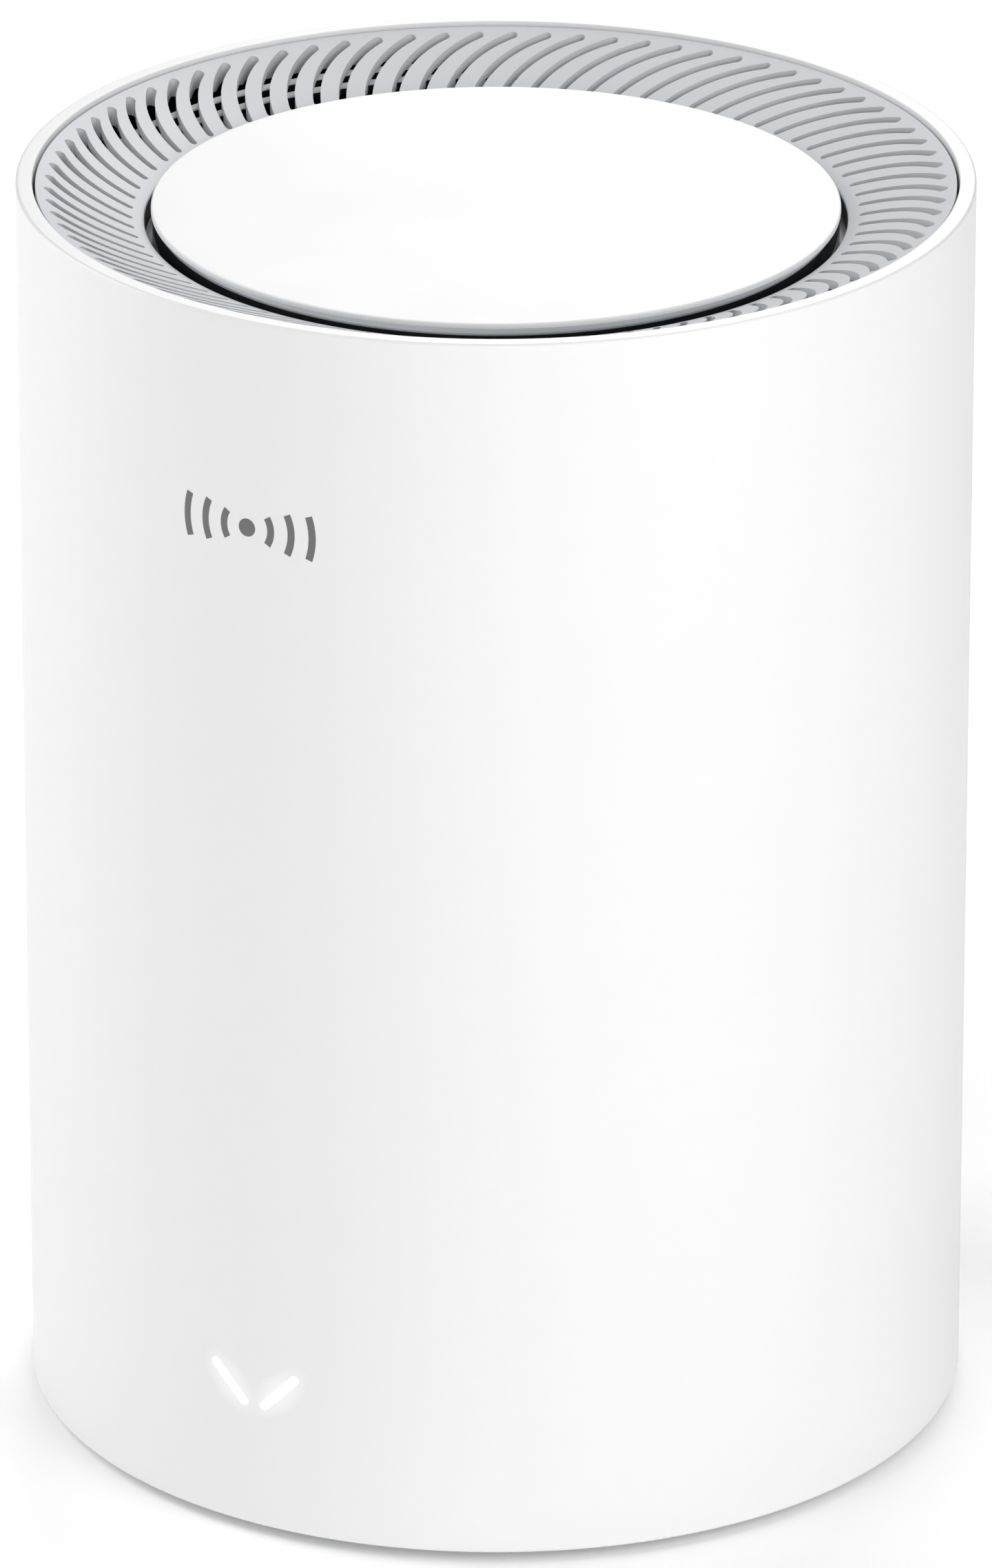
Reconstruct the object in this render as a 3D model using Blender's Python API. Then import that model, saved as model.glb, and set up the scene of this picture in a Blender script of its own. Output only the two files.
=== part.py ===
# Mesh wifi node: a white cylinder with a swirl vent in its sunken top and a port recess at the back.
# Metres, +Z up, origin on the table under the centre. The front, with the status light, faces -Y.

from math import asin, atan2, cos, pi, radians, sin, sqrt

import bmesh
import bpy
from mathutils import Matrix, Vector

# Driving dimensions
SHELL_RADIUS = 0.0540
SHELL_WALL = 0.0019
RIM_Z = 0.1470
SHELL_FOOT_Z = 0.0012
CLEARANCE = 0.0003
ROUND_STEPS = 48
VENT_STEPS = 40

# Sunken top: the vent is a shallow cone that falls from the rim towards the cap
VENT_EDGE_DROP = 0.00045
VENT_SLOPE = 0.355
VENT_INNER_RADIUS = 0.0396
VENT_THICKNESS = 0.0017
DISH_FLOOR_Z = 0.1396
DISH_FLOOR_THICKNESS = 0.0018
SLOT_COUNT = 80
SLOT_WIDTH = 0.0010
SLOT_INNER_RADIUS = 0.0412
SLOT_OUTER_RADIUS = 0.0503
SLOT_SWEEP = radians(-9.45)
SLOT_BOW_RADIUS = 0.0148
SLOT_PHASE = radians(1.36)
HOOP_RADII = (0.0453, 0.0473)
HOOP_WIDTH = 0.0008
HOOP_HEIGHT = 0.0010
CAP_RADIUS = 0.0388
CAP_TOP_Z = 0.1437
CAP_EDGE = 0.0006
CAP_SKIRT_RADIUS = 0.0387

# Port recess at the back
PORT_WIDTH = 0.0600
PORT_LOW_Z = 0.0080
PORT_HIGH_Z = 0.0320
PORT_CORNER = 0.0030
PANEL_FACE_Y = 0.0430
PANEL_THICKNESS = 0.0015
JACK_WIDTH = 0.0159
JACK_HEIGHT = 0.0134
JACK_Z = 0.0200
JACK_XS = {"wan": 0.0090, "lan": -0.0090}
POWER_X = 0.0225
BUTTON_X = -0.0225
PAIR_Z = 0.0245
RESET_Z = 0.0145

# Circuit board, standing upright across the cylinder
BOARD_Y = 0.0200
BOARD_THICKNESS = 0.0016
BOARD_HALF_WIDTH = 0.0430
BOARD_LOW_Z = 0.0064
BOARD_HIGH_Z = 0.1280
BOARD_BACK_Y = BOARD_Y + BOARD_THICKNESS
BOARD_SCREW_X = 0.0400
BOARD_SCREW_ZS = (0.0400, 0.1180)

# Inner frame and base
BASE_LOW_Z = 0.0016
BASE_HIGH_Z = 0.0038
TRAY_LOW_Z = 0.0041
TRAY_HIGH_Z = 0.0061
CROWN_LOW_Z = 0.1300
CROWN_HIGH_Z = 0.1330
POST_ANGLES = {"front_left": 225, "front_right": 315, "rear_left": 138, "rear_right": 42}
POST_RADIUS = 0.0440
ANTENNA_RADIUS = 0.0463
ANTENNA_LOW_Z = 0.0700
ANTENNA_HEIGHT = 0.0500
BASE_SCREW_RADIUS = 0.0330
FOOT_RING_RADIUS = 0.0400
FOOT_RADIUS = 0.0057
LEAD_DIAMETER = 0.0013

# Status light: two slim bars that lean apart, low on the front
LIGHT_LOW_Z = 0.0165
LIGHT_HIGH_Z = 0.0205
LIGHT_INNER_X = 0.0013
LIGHT_OUTER_X = 0.0052
LIGHT_WIDTH = 0.0009


def clear_scene():
    for old in list(bpy.data.objects):
        bpy.data.objects.remove(old)


def material(name, colour, roughness, metallic=0.0):
    made = bpy.data.materials.new(name)
    made.use_nodes = True
    shader = made.node_tree.nodes["Principled BSDF"]
    shader.inputs["Base Color"].default_value = (*colour, 1.0)
    shader.inputs["Roughness"].default_value = roughness
    shader.inputs["Metallic"].default_value = metallic
    return made


def axis_empty(name, location):
    empty = bpy.data.objects.new(name, None)
    empty.location = location
    bpy.context.scene.collection.objects.link(empty)
    return empty


def add_part(name, bm, finish, location=(0, 0, 0), parent=None):
    """Turns bm into a named object; location is in world space, even with a parent."""
    bmesh.ops.recalc_face_normals(bm, faces=bm.faces)
    mesh = bpy.data.meshes.new(name)
    bm.to_mesh(mesh)
    bm.free()
    mesh.shade_smooth()
    mesh.set_sharp_from_angle(angle=radians(30))
    obj = bpy.data.objects.new(name, mesh)
    if finish is not None:
        mesh.materials.append(finish)
    bpy.context.scene.collection.objects.link(obj)
    obj.location = location
    if parent is not None:
        obj.parent = parent
        obj.location = Vector(location) - parent.location
    return obj


def helper(bm, location=(0, 0, 0), turn=0.0):
    """A cutter or a piece to be joined to another: it is never a part of its own."""
    obj = add_part("helper", bm, None, location)
    obj.rotation_euler.z = turn
    obj.hide_render = True
    obj.display_type = "WIRE"
    return obj


def apply_boolean(target, other, operation):
    step = target.modifiers.new(operation.lower(), "BOOLEAN")
    step.operation = operation
    step.object = other


def cut(target, *cutters):
    for cutter in cutters:
        apply_boolean(target, cutter, "DIFFERENCE")


def join(target, *others):
    for other in others:
        apply_boolean(target, other, "UNION")


def revolved(profile, closed=True, steps=ROUND_STEPS):
    """Spins (radius, height) points about Z. An open profile starts and ends on the axis."""
    bm = bmesh.new()
    points = [bm.verts.new((radius, 0, height)) for radius, height in profile]
    ends = points[1:] + points[:1] if closed else points[1:]
    edges = [bm.edges.new(pair) for pair in zip(points, ends)]
    bmesh.ops.spin(bm, geom=points + edges, axis=(0, 0, 1), cent=(0, 0, 0), steps=steps, angle=2 * pi)
    bmesh.ops.remove_doubles(bm, verts=bm.verts, dist=1e-6)
    return bm


def prism(outline, start, end, along="Z"):
    """Extrudes an outline of (u, v) points: along Z, u and v are x and y; along Y they are x and z."""
    bm = bmesh.new()

    def place(u, v, depth):
        return (u, v, depth) if along == "Z" else (u, depth, v)

    face = bm.faces.new([bm.verts.new(place(u, v, start)) for u, v in outline])
    grown = bmesh.ops.extrude_face_region(bm, geom=[face])
    moved = [item for item in grown["geom"] if isinstance(item, bmesh.types.BMVert)]
    bmesh.ops.translate(bm, verts=moved, vec=place(0, 0, end - start))
    return bm


def block(low, high):
    """A box between two corners."""
    low, high = Vector(low), Vector(high)
    bm = bmesh.new()
    bmesh.ops.create_cube(bm, size=1.0)
    bmesh.ops.scale(bm, verts=bm.verts, vec=high - low)
    bmesh.ops.translate(bm, verts=bm.verts, vec=(low + high) / 2)
    return bm


def rod(radius, start, end, along="Y", sides=20, at=(0, 0)):
    """A cylinder along an axis, from start to end, with its centre line at the other two coordinates."""
    bm = bmesh.new()
    length = end - start
    bmesh.ops.create_cone(
        bm, cap_ends=True, segments=sides, radius1=radius, radius2=radius, depth=length
    )
    middle = (start + end) / 2
    if along == "Y":
        bmesh.ops.rotate(bm, verts=bm.verts, cent=(0, 0, 0), matrix=Matrix.Rotation(pi / 2, 3, "X"))
        bmesh.ops.translate(bm, verts=bm.verts, vec=(at[0], middle, at[1]))
    else:
        bmesh.ops.translate(bm, verts=bm.verts, vec=(at[0], at[1], middle))
    return bm


def rounded_rectangle(half_width, low, high, corner, steps=4):
    """Outline centred on u = 0 between two v values, with round corners."""
    centres = (
        (half_width - corner, high - corner, 0),
        (-half_width + corner, high - corner, 1),
        (-half_width + corner, low + corner, 2),
        (half_width - corner, low + corner, 3),
    )
    points = []
    for u, v, quarter in centres:
        for i in range(steps + 1):
            angle = (quarter + i / steps) * pi / 2
            points.append((u + corner * cos(angle), v + corner * sin(angle)))
    return points


def shifted(outline, du, dv=0.0):
    return [(u + du, v + dv) for u, v in outline]


def bar_outline(start, end, width, cap_steps=3):
    """A straight bar with round ends between two (u, v) points."""
    lean = atan2(end[1] - start[1], end[0] - start[0])
    points = []
    for centre, turn in ((end, lean - pi / 2), (start, lean + pi / 2)):
        for i in range(cap_steps + 1):
            angle = turn + pi * i / cap_steps
            points.append((centre[0] + width / 2 * cos(angle), centre[1] + width / 2 * sin(angle)))
    return points


def vent_height(radius):
    """Height of the vent cone's upper face."""
    return RIM_Z - VENT_EDGE_DROP - VENT_SLOPE * (SHELL_RADIUS - SHELL_WALL - radius)


def slot_outline(turn, arc_steps=2):
    """One curved vent slot: an arc of even width, leaning clockwise as it runs outwards."""
    inner = Vector((SLOT_INNER_RADIUS * cos(turn), SLOT_INNER_RADIUS * sin(turn)))
    end_turn = turn + SLOT_SWEEP
    outer = Vector((SLOT_OUTER_RADIUS * cos(end_turn), SLOT_OUTER_RADIUS * sin(end_turn)))
    chord = outer - inner
    bulge = Vector((-chord.y, chord.x)).normalized()
    centre = (inner + outer) / 2 - bulge * sqrt(SLOT_BOW_RADIUS**2 - chord.length_squared / 4)
    start = atan2(inner.y - centre.y, inner.x - centre.x)
    sweep = -2 * asin(chord.length / 2 / SLOT_BOW_RADIUS)
    points = []
    for side, first, last in ((1, 0, arc_steps), (-1, arc_steps, 0)):
        radius = SLOT_BOW_RADIUS + side * SLOT_WIDTH / 2
        for i in range(arc_steps + 1):
            angle = start + sweep * (first + (last - first) * i / arc_steps) / arc_steps
            points.append((centre.x + radius * cos(angle), centre.y + radius * sin(angle)))
    return points


def smooth_route(points, per_span=3):
    """Points along a Catmull-Rom curve through the given ones."""
    knots = [Vector(p) for p in points]
    knots = [2 * knots[0] - knots[1], *knots, 2 * knots[-1] - knots[-2]]
    route = []
    for i in range(1, len(knots) - 2):
        a, b, c, d = knots[i - 1 : i + 3]
        for step in range(per_span):
            t = step / per_span
            route.append(
                0.5 * (2 * b + (c - a) * t + (2 * a - 5 * b + 4 * c - d) * t**2
                       + (3 * b - a - 3 * c + d) * t**3)
            )
    return route + [knots[-2]]


def lead(name, points, diameter, finish):
    """A thin insulated wire along a smooth route."""
    curve = bpy.data.curves.new(name, "CURVE")
    curve.dimensions = "3D"
    curve.bevel_depth = diameter / 2
    curve.bevel_resolution = 2
    curve.use_fill_caps = True
    route = smooth_route(points)
    spline = curve.splines.new("POLY")
    spline.points.add(len(route) - 1)
    for knot, place in zip(spline.points, route):
        knot.co = (*place, 1.0)
    curve.materials.append(finish)
    obj = bpy.data.objects.new(name, curve)
    bpy.context.scene.collection.objects.link(obj)
    return obj


# Shell, top and base


def light_bars():
    """The two bars of the status light, as (start, end) points in the front plane."""
    return [
        ((side * LIGHT_INNER_X, LIGHT_LOW_Z), (side * LIGHT_OUTER_X, LIGHT_HIGH_Z))
        for side in (-1, 1)
    ]


def outer_shell(finish):
    inner = SHELL_RADIUS - SHELL_WALL
    rim_bevel = 0.0004
    foot_bevel = 0.0007
    ledge_depth = 0.0012
    ledge_z = vent_height(inner - ledge_depth) - VENT_THICKNESS - CLEARANCE
    profile = [
        (inner, SHELL_FOOT_Z),
        (SHELL_RADIUS - foot_bevel, SHELL_FOOT_Z),
        (SHELL_RADIUS, SHELL_FOOT_Z + foot_bevel),
        (SHELL_RADIUS, RIM_Z - rim_bevel),
        (SHELL_RADIUS - rim_bevel, RIM_Z),
        (inner, RIM_Z),
        (inner, ledge_z),
        (inner - ledge_depth, ledge_z),
        (inner, ledge_z - 2 * ledge_depth),
    ]
    shell = add_part("outer_shell", revolved(profile), finish)
    window = rounded_rectangle(PORT_WIDTH / 2, PORT_LOW_Z, PORT_HIGH_Z, PORT_CORNER)
    cut(shell, helper(prism(window, 0.030, 0.060, "Y")))
    for start, end in light_bars():
        outline = bar_outline(start, end, LIGHT_WIDTH + 2 * CLEARANCE)
        cut(shell, helper(prism(outline, -0.060, -0.045, "Y")))
    return shell


def vent_grille(finish):
    outer = SHELL_RADIUS - SHELL_WALL - CLEARANCE
    wall = 0.0009
    lip = VENT_INNER_RADIUS
    under = DISH_FLOOR_Z - DISH_FLOOR_THICKNESS
    profile = [
        (0, DISH_FLOOR_Z),
        (lip, DISH_FLOOR_Z),
        (lip, vent_height(lip)),
        (outer, vent_height(outer)),
        (outer, vent_height(outer) - VENT_THICKNESS),
        (lip + wall, vent_height(lip + wall) - VENT_THICKNESS),
        (lip + wall, under),
        (0, under),
    ]
    grille = add_part("vent_grille", revolved(profile, closed=False, steps=VENT_STEPS), finish)
    slots = bmesh.new()
    for i in range(SLOT_COUNT):
        turn = 2 * pi * i / SLOT_COUNT + SLOT_PHASE - pi / 2
        one = prism(slot_outline(turn), under + 0.0005, RIM_Z + 0.002)
        bmesh.ops.recalc_face_normals(one, faces=one.faces)
        copy = bpy.data.meshes.new("slot")
        one.to_mesh(copy)
        one.free()
        slots.from_mesh(copy)
        bpy.data.meshes.remove(copy)
    cut(grille, helper(slots))
    return grille


def vent_hoops(finish):
    """Two hoops on six spokes, clipped under the vent to stiffen its ribs."""
    drop = VENT_THICKNESS + 2 * CLEARANCE

    def hoop(radius):
        top = vent_height(radius - HOOP_WIDTH / 2) - drop
        half = HOOP_WIDTH / 2
        return revolved(
            [
                (radius - half, top - HOOP_HEIGHT),
                (radius + half, top - HOOP_HEIGHT),
                (radius + half, top),
                (radius - half, top),
            ],
            steps=VENT_STEPS,
        )

    hoops = add_part("vent_hoops", hoop(HOOP_RADII[0]), finish)
    join(hoops, *(helper(hoop(radius)) for radius in HOOP_RADII[1:]))
    first, last = HOOP_RADII[0], HOOP_RADII[-1]
    spoke_count, half_width, height, sink, skew = 6, 0.0006, 0.0008, 0.0002, 0.03
    low = vent_height(first) - drop - HOOP_HEIGHT - sink
    for i in range(spoke_count):
        spoke = block((first, -half_width, low), (last, half_width, low + height))
        wedge = helper(spoke, turn=2 * pi * i / spoke_count + skew)
        tilt_spoke(wedge, first, last)
        join(hoops, wedge)
    return hoops


def tilt_spoke(spoke, first, last):
    """Raises a spoke's outer end, so that it follows the slope of the vent."""
    for vertex in spoke.data.vertices:
        vertex.co.z += VENT_SLOPE * (vertex.co.x - first)
    spoke.data.update()


def top_cap(finish):
    edge_round = 0.0003
    skirt_wall = 0.0018
    foot = DISH_FLOOR_Z + CLEARANCE
    edge_z = CAP_TOP_Z - CAP_EDGE
    under = CAP_TOP_Z - 0.0015
    profile = [
        (0, CAP_TOP_Z),
        (CAP_RADIUS - edge_round, CAP_TOP_Z),
        (CAP_RADIUS, CAP_TOP_Z - edge_round),
        (CAP_RADIUS, edge_z),
        (CAP_SKIRT_RADIUS, edge_z),
        (CAP_SKIRT_RADIUS, foot),
        (CAP_SKIRT_RADIUS - skirt_wall, foot),
        (CAP_SKIRT_RADIUS - skirt_wall, under),
        (0, under),
    ]
    return add_part("top_cap", revolved(profile, closed=False), finish)


def base_cover(finish):
    outer = SHELL_RADIUS - SHELL_WALL - CLEARANCE
    lip_top = 0.0070
    lip_wall = 0.0015
    profile = [
        (0, BASE_LOW_Z),
        (outer, BASE_LOW_Z),
        (outer, lip_top),
        (outer - lip_wall, lip_top),
        (outer - lip_wall, BASE_HIGH_Z),
        (0, BASE_HIGH_Z),
    ]
    cover = add_part("base_cover", revolved(profile, closed=False), finish)
    for x, y in ring_places(FOOT_RING_RADIUS, 4, 45):
        pocket = rod(FOOT_RADIUS + CLEARANCE, 0, BASE_LOW_Z + 0.0008, "Z", 16)
        cut(cover, helper(pocket, (x, y, 0)))
    for x, y in ring_places(BASE_SCREW_RADIUS, 4, 0):
        cut(cover, helper(rod(0.0016, 0, 0.006, "Z", 12), (x, y, 0)))
        cut(cover, helper(rod(0.0031, 0, BASE_LOW_Z + 0.0012, "Z", 16), (x, y, 0)))
    vent = bar_outline((0.0445, 0), (0.0485, 0), 0.0016, 1)
    for quarter in range(4):
        for step in (-1, 1):
            cut(cover, helper(prism(vent, 0, 0.006), turn=quarter * pi / 2 + step * pi / 12))
    return cover


def ring_places(radius, count, start_degrees):
    return [
        (radius * cos(radians(start_degrees) + 2 * pi * i / count),
         radius * sin(radians(start_degrees) + 2 * pi * i / count))
        for i in range(count)
    ]


def feet(finish):
    soft_round = 0.0004
    top = BASE_LOW_Z + 0.0005
    profile = [
        (0, 0),
        (FOOT_RADIUS - soft_round, 0),
        (FOOT_RADIUS, soft_round),
        (FOOT_RADIUS, top),
        (0, top),
    ]
    for i, (x, y) in enumerate(ring_places(FOOT_RING_RADIUS, 4, 45), 1):
        add_part(f"rubber_foot_{i}", revolved(profile, closed=False, steps=16), finish, (x, y, 0))


def screw(name, finish, location, shaft_length, parent=None, along="Z"):
    """A pan-head screw with a cross recess; its head sits at the origin, with the shaft along the axis."""
    head_radius, head_height, shaft_radius = 0.0027, 0.0014, 0.0013
    profile = [
        (0, 0),
        (head_radius, 0),
        (head_radius, head_height),
        (shaft_radius, head_height),
        (shaft_radius, head_height + shaft_length),
        (0, head_height + shaft_length),
    ]
    obj = add_part(name, revolved(profile, closed=False, steps=12), finish, location, parent)
    arm, slot = 0.0014, 0.00035
    for a, b in ((arm, slot), (slot, arm)):
        recess = helper(block((-a, -b, -0.001), (a, b, head_height * 0.55)))
        recess.parent = obj
        cut(obj, recess)
    if along == "-Y":
        obj.rotation_euler.x = pi / 2
    return obj


def base_screws(finish):
    for i, (x, y) in enumerate(ring_places(BASE_SCREW_RADIUS, 4, 0), 1):
        screw(f"base_screw_{i}", finish, (x, y, BASE_LOW_Z - 0.0004), 0.0070)


# Inner frame and electronics


def inner_frame(finish):
    """Tray, four antenna posts, two board rails and a crown ring, moulded as one piece."""
    tray_steps = 32
    tray_profile = [
        (0.0240, TRAY_LOW_Z),
        (0.0498, TRAY_LOW_Z),
        (0.0498, TRAY_HIGH_Z),
        (0.0240, TRAY_HIGH_Z),
    ]
    frame = add_part("inner_frame", revolved(tray_profile, steps=tray_steps), finish)
    crown_profile = [
        (0.0400, CROWN_LOW_Z),
        (0.0498, CROWN_LOW_Z),
        (0.0498, CROWN_HIGH_Z),
        (0.0400, CROWN_HIGH_Z),
    ]
    join(frame, helper(revolved(crown_profile, steps=tray_steps)))
    sunk = 0.0008
    for degrees in POST_ANGLES.values():
        post = block(
            (POST_RADIUS - 0.0015, -0.0050, TRAY_HIGH_Z - sunk),
            (POST_RADIUS + 0.0015, 0.0050, CROWN_LOW_Z + sunk),
        )
        join(frame, helper(post, turn=radians(degrees)))
    rail_inner = BOARD_SCREW_X - 0.0030
    rail_outer = BOARD_SCREW_X + 0.0030
    for side in (-1, 1):
        ends = sorted((side * rail_inner, side * rail_outer))
        rail = block(
            (ends[0], 0.0140, TRAY_HIGH_Z - sunk),
            (ends[1], BOARD_Y - CLEARANCE, CROWN_LOW_Z + sunk),
        )
        join(frame, helper(rail))
    for x, y in ring_places(BASE_SCREW_RADIUS, 4, 0):
        join(frame, helper(rod(0.0042, TRAY_HIGH_Z - sunk, 0.0120, "Z", 16), (x, y, 0)))
        cut(frame, helper(rod(0.0016, 0.0030, 0.0112, "Z", 12), (x, y, 0)))
    light_post = block((-0.0040, -0.0470, TRAY_HIGH_Z - sunk), (0.0040, -0.0450, 0.0230))
    join(frame, helper(light_post))
    for x, z in board_screw_places():
        cut(frame, helper(rod(0.0016, 0.0150, 0.0210, "Y", 12, (x, z))))
    return frame


def board_screw_places():
    return [(side * BOARD_SCREW_X, z) for z in BOARD_SCREW_ZS for side in (-1, 1)]


def main_board(finish):
    outline = rounded_rectangle(BOARD_HALF_WIDTH, BOARD_LOW_Z, BOARD_HIGH_Z, 0.0015, 2)
    board = add_part("main_board", prism(outline, BOARD_Y, BOARD_BACK_Y, "Y"), finish)
    for x, z in board_screw_places():
        cut(board, helper(rod(0.0016, 0.0180, 0.0240, "Y", 12, (x, z))))
    return board


def board_screws(finish):
    head_back = BOARD_BACK_Y + CLEARANCE + 0.0014
    for i, (x, z) in enumerate(board_screw_places(), 1):
        screw(f"board_screw_{i}", finish, (x, head_back, z), 0.0056, along="-Y")


def shield_can(name, finish, x, z, half_width, half_height):
    """A folded metal lid over a chip, open towards the board's front face."""
    depth, sheet = 0.0024, 0.0003
    back = BOARD_Y - CLEARANCE
    can = add_part(
        name,
        block((x - half_width, back - depth, z - half_height), (x + half_width, back, z + half_height)),
        finish,
    )
    cavity = block(
        (x - half_width + sheet, back - depth + sheet, z - half_height + sheet),
        (x + half_width - sheet, back + 0.001, z + half_height - sheet),
    )
    cut(can, helper(cavity))
    return can


def chip(name, finish, x, z, half_size, thickness=0.0011):
    back = BOARD_Y - CLEARANCE
    outline = shifted(rounded_rectangle(half_size, -half_size, half_size, 0.0003, 1), x, z)
    return add_part(name, prism(outline, back - thickness, back, "Y"), finish)


def heatsink(name, finish, root_y, tip_y, half_width, low_z, high_z, fin_pitch):
    """A plate with upright fins, from its root face to the fin tips."""
    towards = 1 if tip_y > root_y else -1
    plate_y = root_y + towards * 0.0022
    ys = sorted((root_y, plate_y))
    sink = add_part(
        name, block((-half_width, ys[0], low_z), (half_width, ys[1], high_z)), finish
    )
    fin = 0.0012
    count = int(2 * half_width / fin_pitch)
    for i in range(count + 1):
        x = -half_width + fin / 2 + (2 * half_width - fin) * i / count
        ends = sorted((plate_y - towards * 0.0004, tip_y))
        low, high = (x - fin / 2, ends[0], low_z + 0.001), (x + fin / 2, ends[1], high_z - 0.001)
        join(sink, helper(block(low, high)))
    return sink


def thermal_pad(name, finish, low_y, high_y, x, z, half_size):
    return add_part(
        name,
        block((x - half_size, low_y, z - half_size), (x + half_size, high_y, z + half_size)),
        finish,
    )


def antennas(plate_finish, lead_finish, plug_finish):
    """Four upright antenna strips on the frame's posts, each with a coaxial lead to the board."""
    half_width, half_thickness = 0.0065, 0.0004
    for side, degrees in POST_ANGLES.items():
        strip = block(
            (-half_width, -half_thickness, 0),
            (half_width, half_thickness, ANTENNA_HEIGHT),
        )
        turn = radians(degrees)
        plate = add_part(
            f"antenna_{side}",
            strip,
            plate_finish,
            (ANTENNA_RADIUS * cos(turn), ANTENNA_RADIUS * sin(turn), ANTENNA_LOW_Z),
        )
        plate.rotation_euler.z = turn + pi / 2
        antenna_lead(side, turn, lead_finish, plug_finish)


def antenna_lead(side, turn, lead_finish, plug_finish):
    mirror = 1 if cos(turn) > 0 else -1
    start = (ANTENNA_RADIUS * cos(turn), ANTENNA_RADIUS * sin(turn), ANTENNA_LOW_Z - 0.0006)
    plug_z = 0.0520
    plug_length = 0.0016
    if sin(turn) < 0:
        plug_x = mirror * 0.0345
        face_y = BOARD_Y - CLEARANCE
        ends = (face_y - plug_length, face_y)
        last_y = ends[0] - CLEARANCE
        route = [
            start,
            (start[0] * 1.01, start[1] * 1.01, 0.0640),
            (mirror * 0.0385, -0.0270, 0.0575),
            (mirror * 0.0425, -0.0120, 0.0545),
            (mirror * 0.0405, 0.0020, 0.0530),
            (mirror * 0.0360, 0.0100, plug_z),
            (plug_x, last_y - 0.0025, plug_z),
            (plug_x, last_y, plug_z),
        ]
    else:
        plug_x = mirror * 0.0390
        face_y = BOARD_BACK_Y + CLEARANCE
        ends = (face_y, face_y + plug_length)
        last_y = ends[1] + CLEARANCE
        route = [
            start,
            (start[0] * 1.02, start[1] * 1.02, 0.0640),
            (mirror * 0.0375, 0.0305, 0.0585),
            (mirror * 0.0395, 0.0280, 0.0540),
            (plug_x, last_y + 0.0015, plug_z),
            (plug_x, last_y, plug_z),
        ]
    lead(f"antenna_lead_{side}", route, LEAD_DIAMETER, lead_finish)
    add_part(f"antenna_plug_{side}", rod(0.0014, *ends, "Y", 12, (plug_x, plug_z)), plug_finish)


# Ports and buttons


def port_bezel(finish):
    """The flat port panel and the short tunnel that leads out to the shell."""
    half = PORT_WIDTH / 2 - CLEARANCE
    low, high = PORT_LOW_Z + CLEARANCE, PORT_HIGH_Z - CLEARANCE
    back = PANEL_FACE_Y - PANEL_THICKNESS
    wall = 0.0012
    outline = rounded_rectangle(half, low, high, PORT_CORNER - CLEARANCE)
    bezel = add_part("port_bezel", prism(outline, back, 0.0570, "Y"), finish)
    cylinder = rod(SHELL_RADIUS - CLEARANCE, 0, 0.04, "Z", 2 * ROUND_STEPS)
    apply_boolean(bezel, helper(cylinder), "INTERSECT")
    tunnel = rounded_rectangle(half - wall, low + wall, high - wall, PORT_CORNER - CLEARANCE - wall)
    cut(bezel, helper(prism(tunnel, PANEL_FACE_Y, 0.0600, "Y")))
    hole_half = JACK_WIDTH / 2 + CLEARANCE
    hole = rounded_rectangle(
        hole_half, JACK_Z - JACK_HEIGHT / 2 - CLEARANCE, JACK_Z + JACK_HEIGHT / 2 + CLEARANCE, 0.0002, 1
    )
    for x in JACK_XS.values():
        cut(bezel, helper(prism(shifted(hole, x), 0.040, 0.0445, "Y")))
    cut(bezel, helper(rod(0.0036, 0.040, 0.0445, "Y", 24, (POWER_X, JACK_Z))))
    cut(bezel, helper(rod(0.0030, 0.040, 0.0445, "Y", 24, (BUTTON_X, PAIR_Z))))
    cut(bezel, helper(rod(0.0013, 0.040, 0.0445, "Y", 16, (BUTTON_X, RESET_Z))))
    return bezel


def jack(name, shield_finish, insert_finish, contact_finish):
    """A socket for an eight-way network plug: metal shield, plastic insert and sprung contacts."""
    x = JACK_XS[name]
    sheet = 0.0004
    front = PANEL_FACE_Y - 0.0001
    rear = BOARD_BACK_Y + CLEARANCE
    half, tall = JACK_WIDTH / 2, JACK_HEIGHT / 2
    shield = add_part(
        f"{name}_jack_shield",
        block((x - half, rear, JACK_Z - tall), (x + half, front, JACK_Z + tall)),
        shield_finish,
    )
    inner_half, inner_tall = half - sheet, tall - sheet
    cavity = block(
        (x - inner_half, rear + sheet, JACK_Z - inner_tall), (x + inner_half, 0.045, JACK_Z + inner_tall)
    )
    cut(shield, helper(cavity))
    side = inner_half - CLEARANCE
    top = inner_tall - CLEARANCE
    insert = add_part(
        f"{name}_jack_insert",
        block(
            (x - side, rear + sheet + CLEARANCE, JACK_Z - top),
            (x + side, front - 0.0002, JACK_Z + top),
        ),
        insert_finish,
    )
    plug_half, plug_low, plug_high, plug_end = 0.0059, -0.0045, 0.0038, 0.0300
    latch_half, latch_drop = 0.0031, 0.0012
    mouth = block(
        (x - plug_half, plug_end, JACK_Z + plug_low), (x + plug_half, 0.045, JACK_Z + plug_high)
    )
    latch = block(
        (x - latch_half, plug_end, JACK_Z + plug_low - latch_drop),
        (x + latch_half, 0.045, JACK_Z + plug_low + 0.001),
    )
    cut(insert, helper(mouth), helper(latch))
    contacts(name, x, plug_end, JACK_Z + plug_high, contact_finish)


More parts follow.
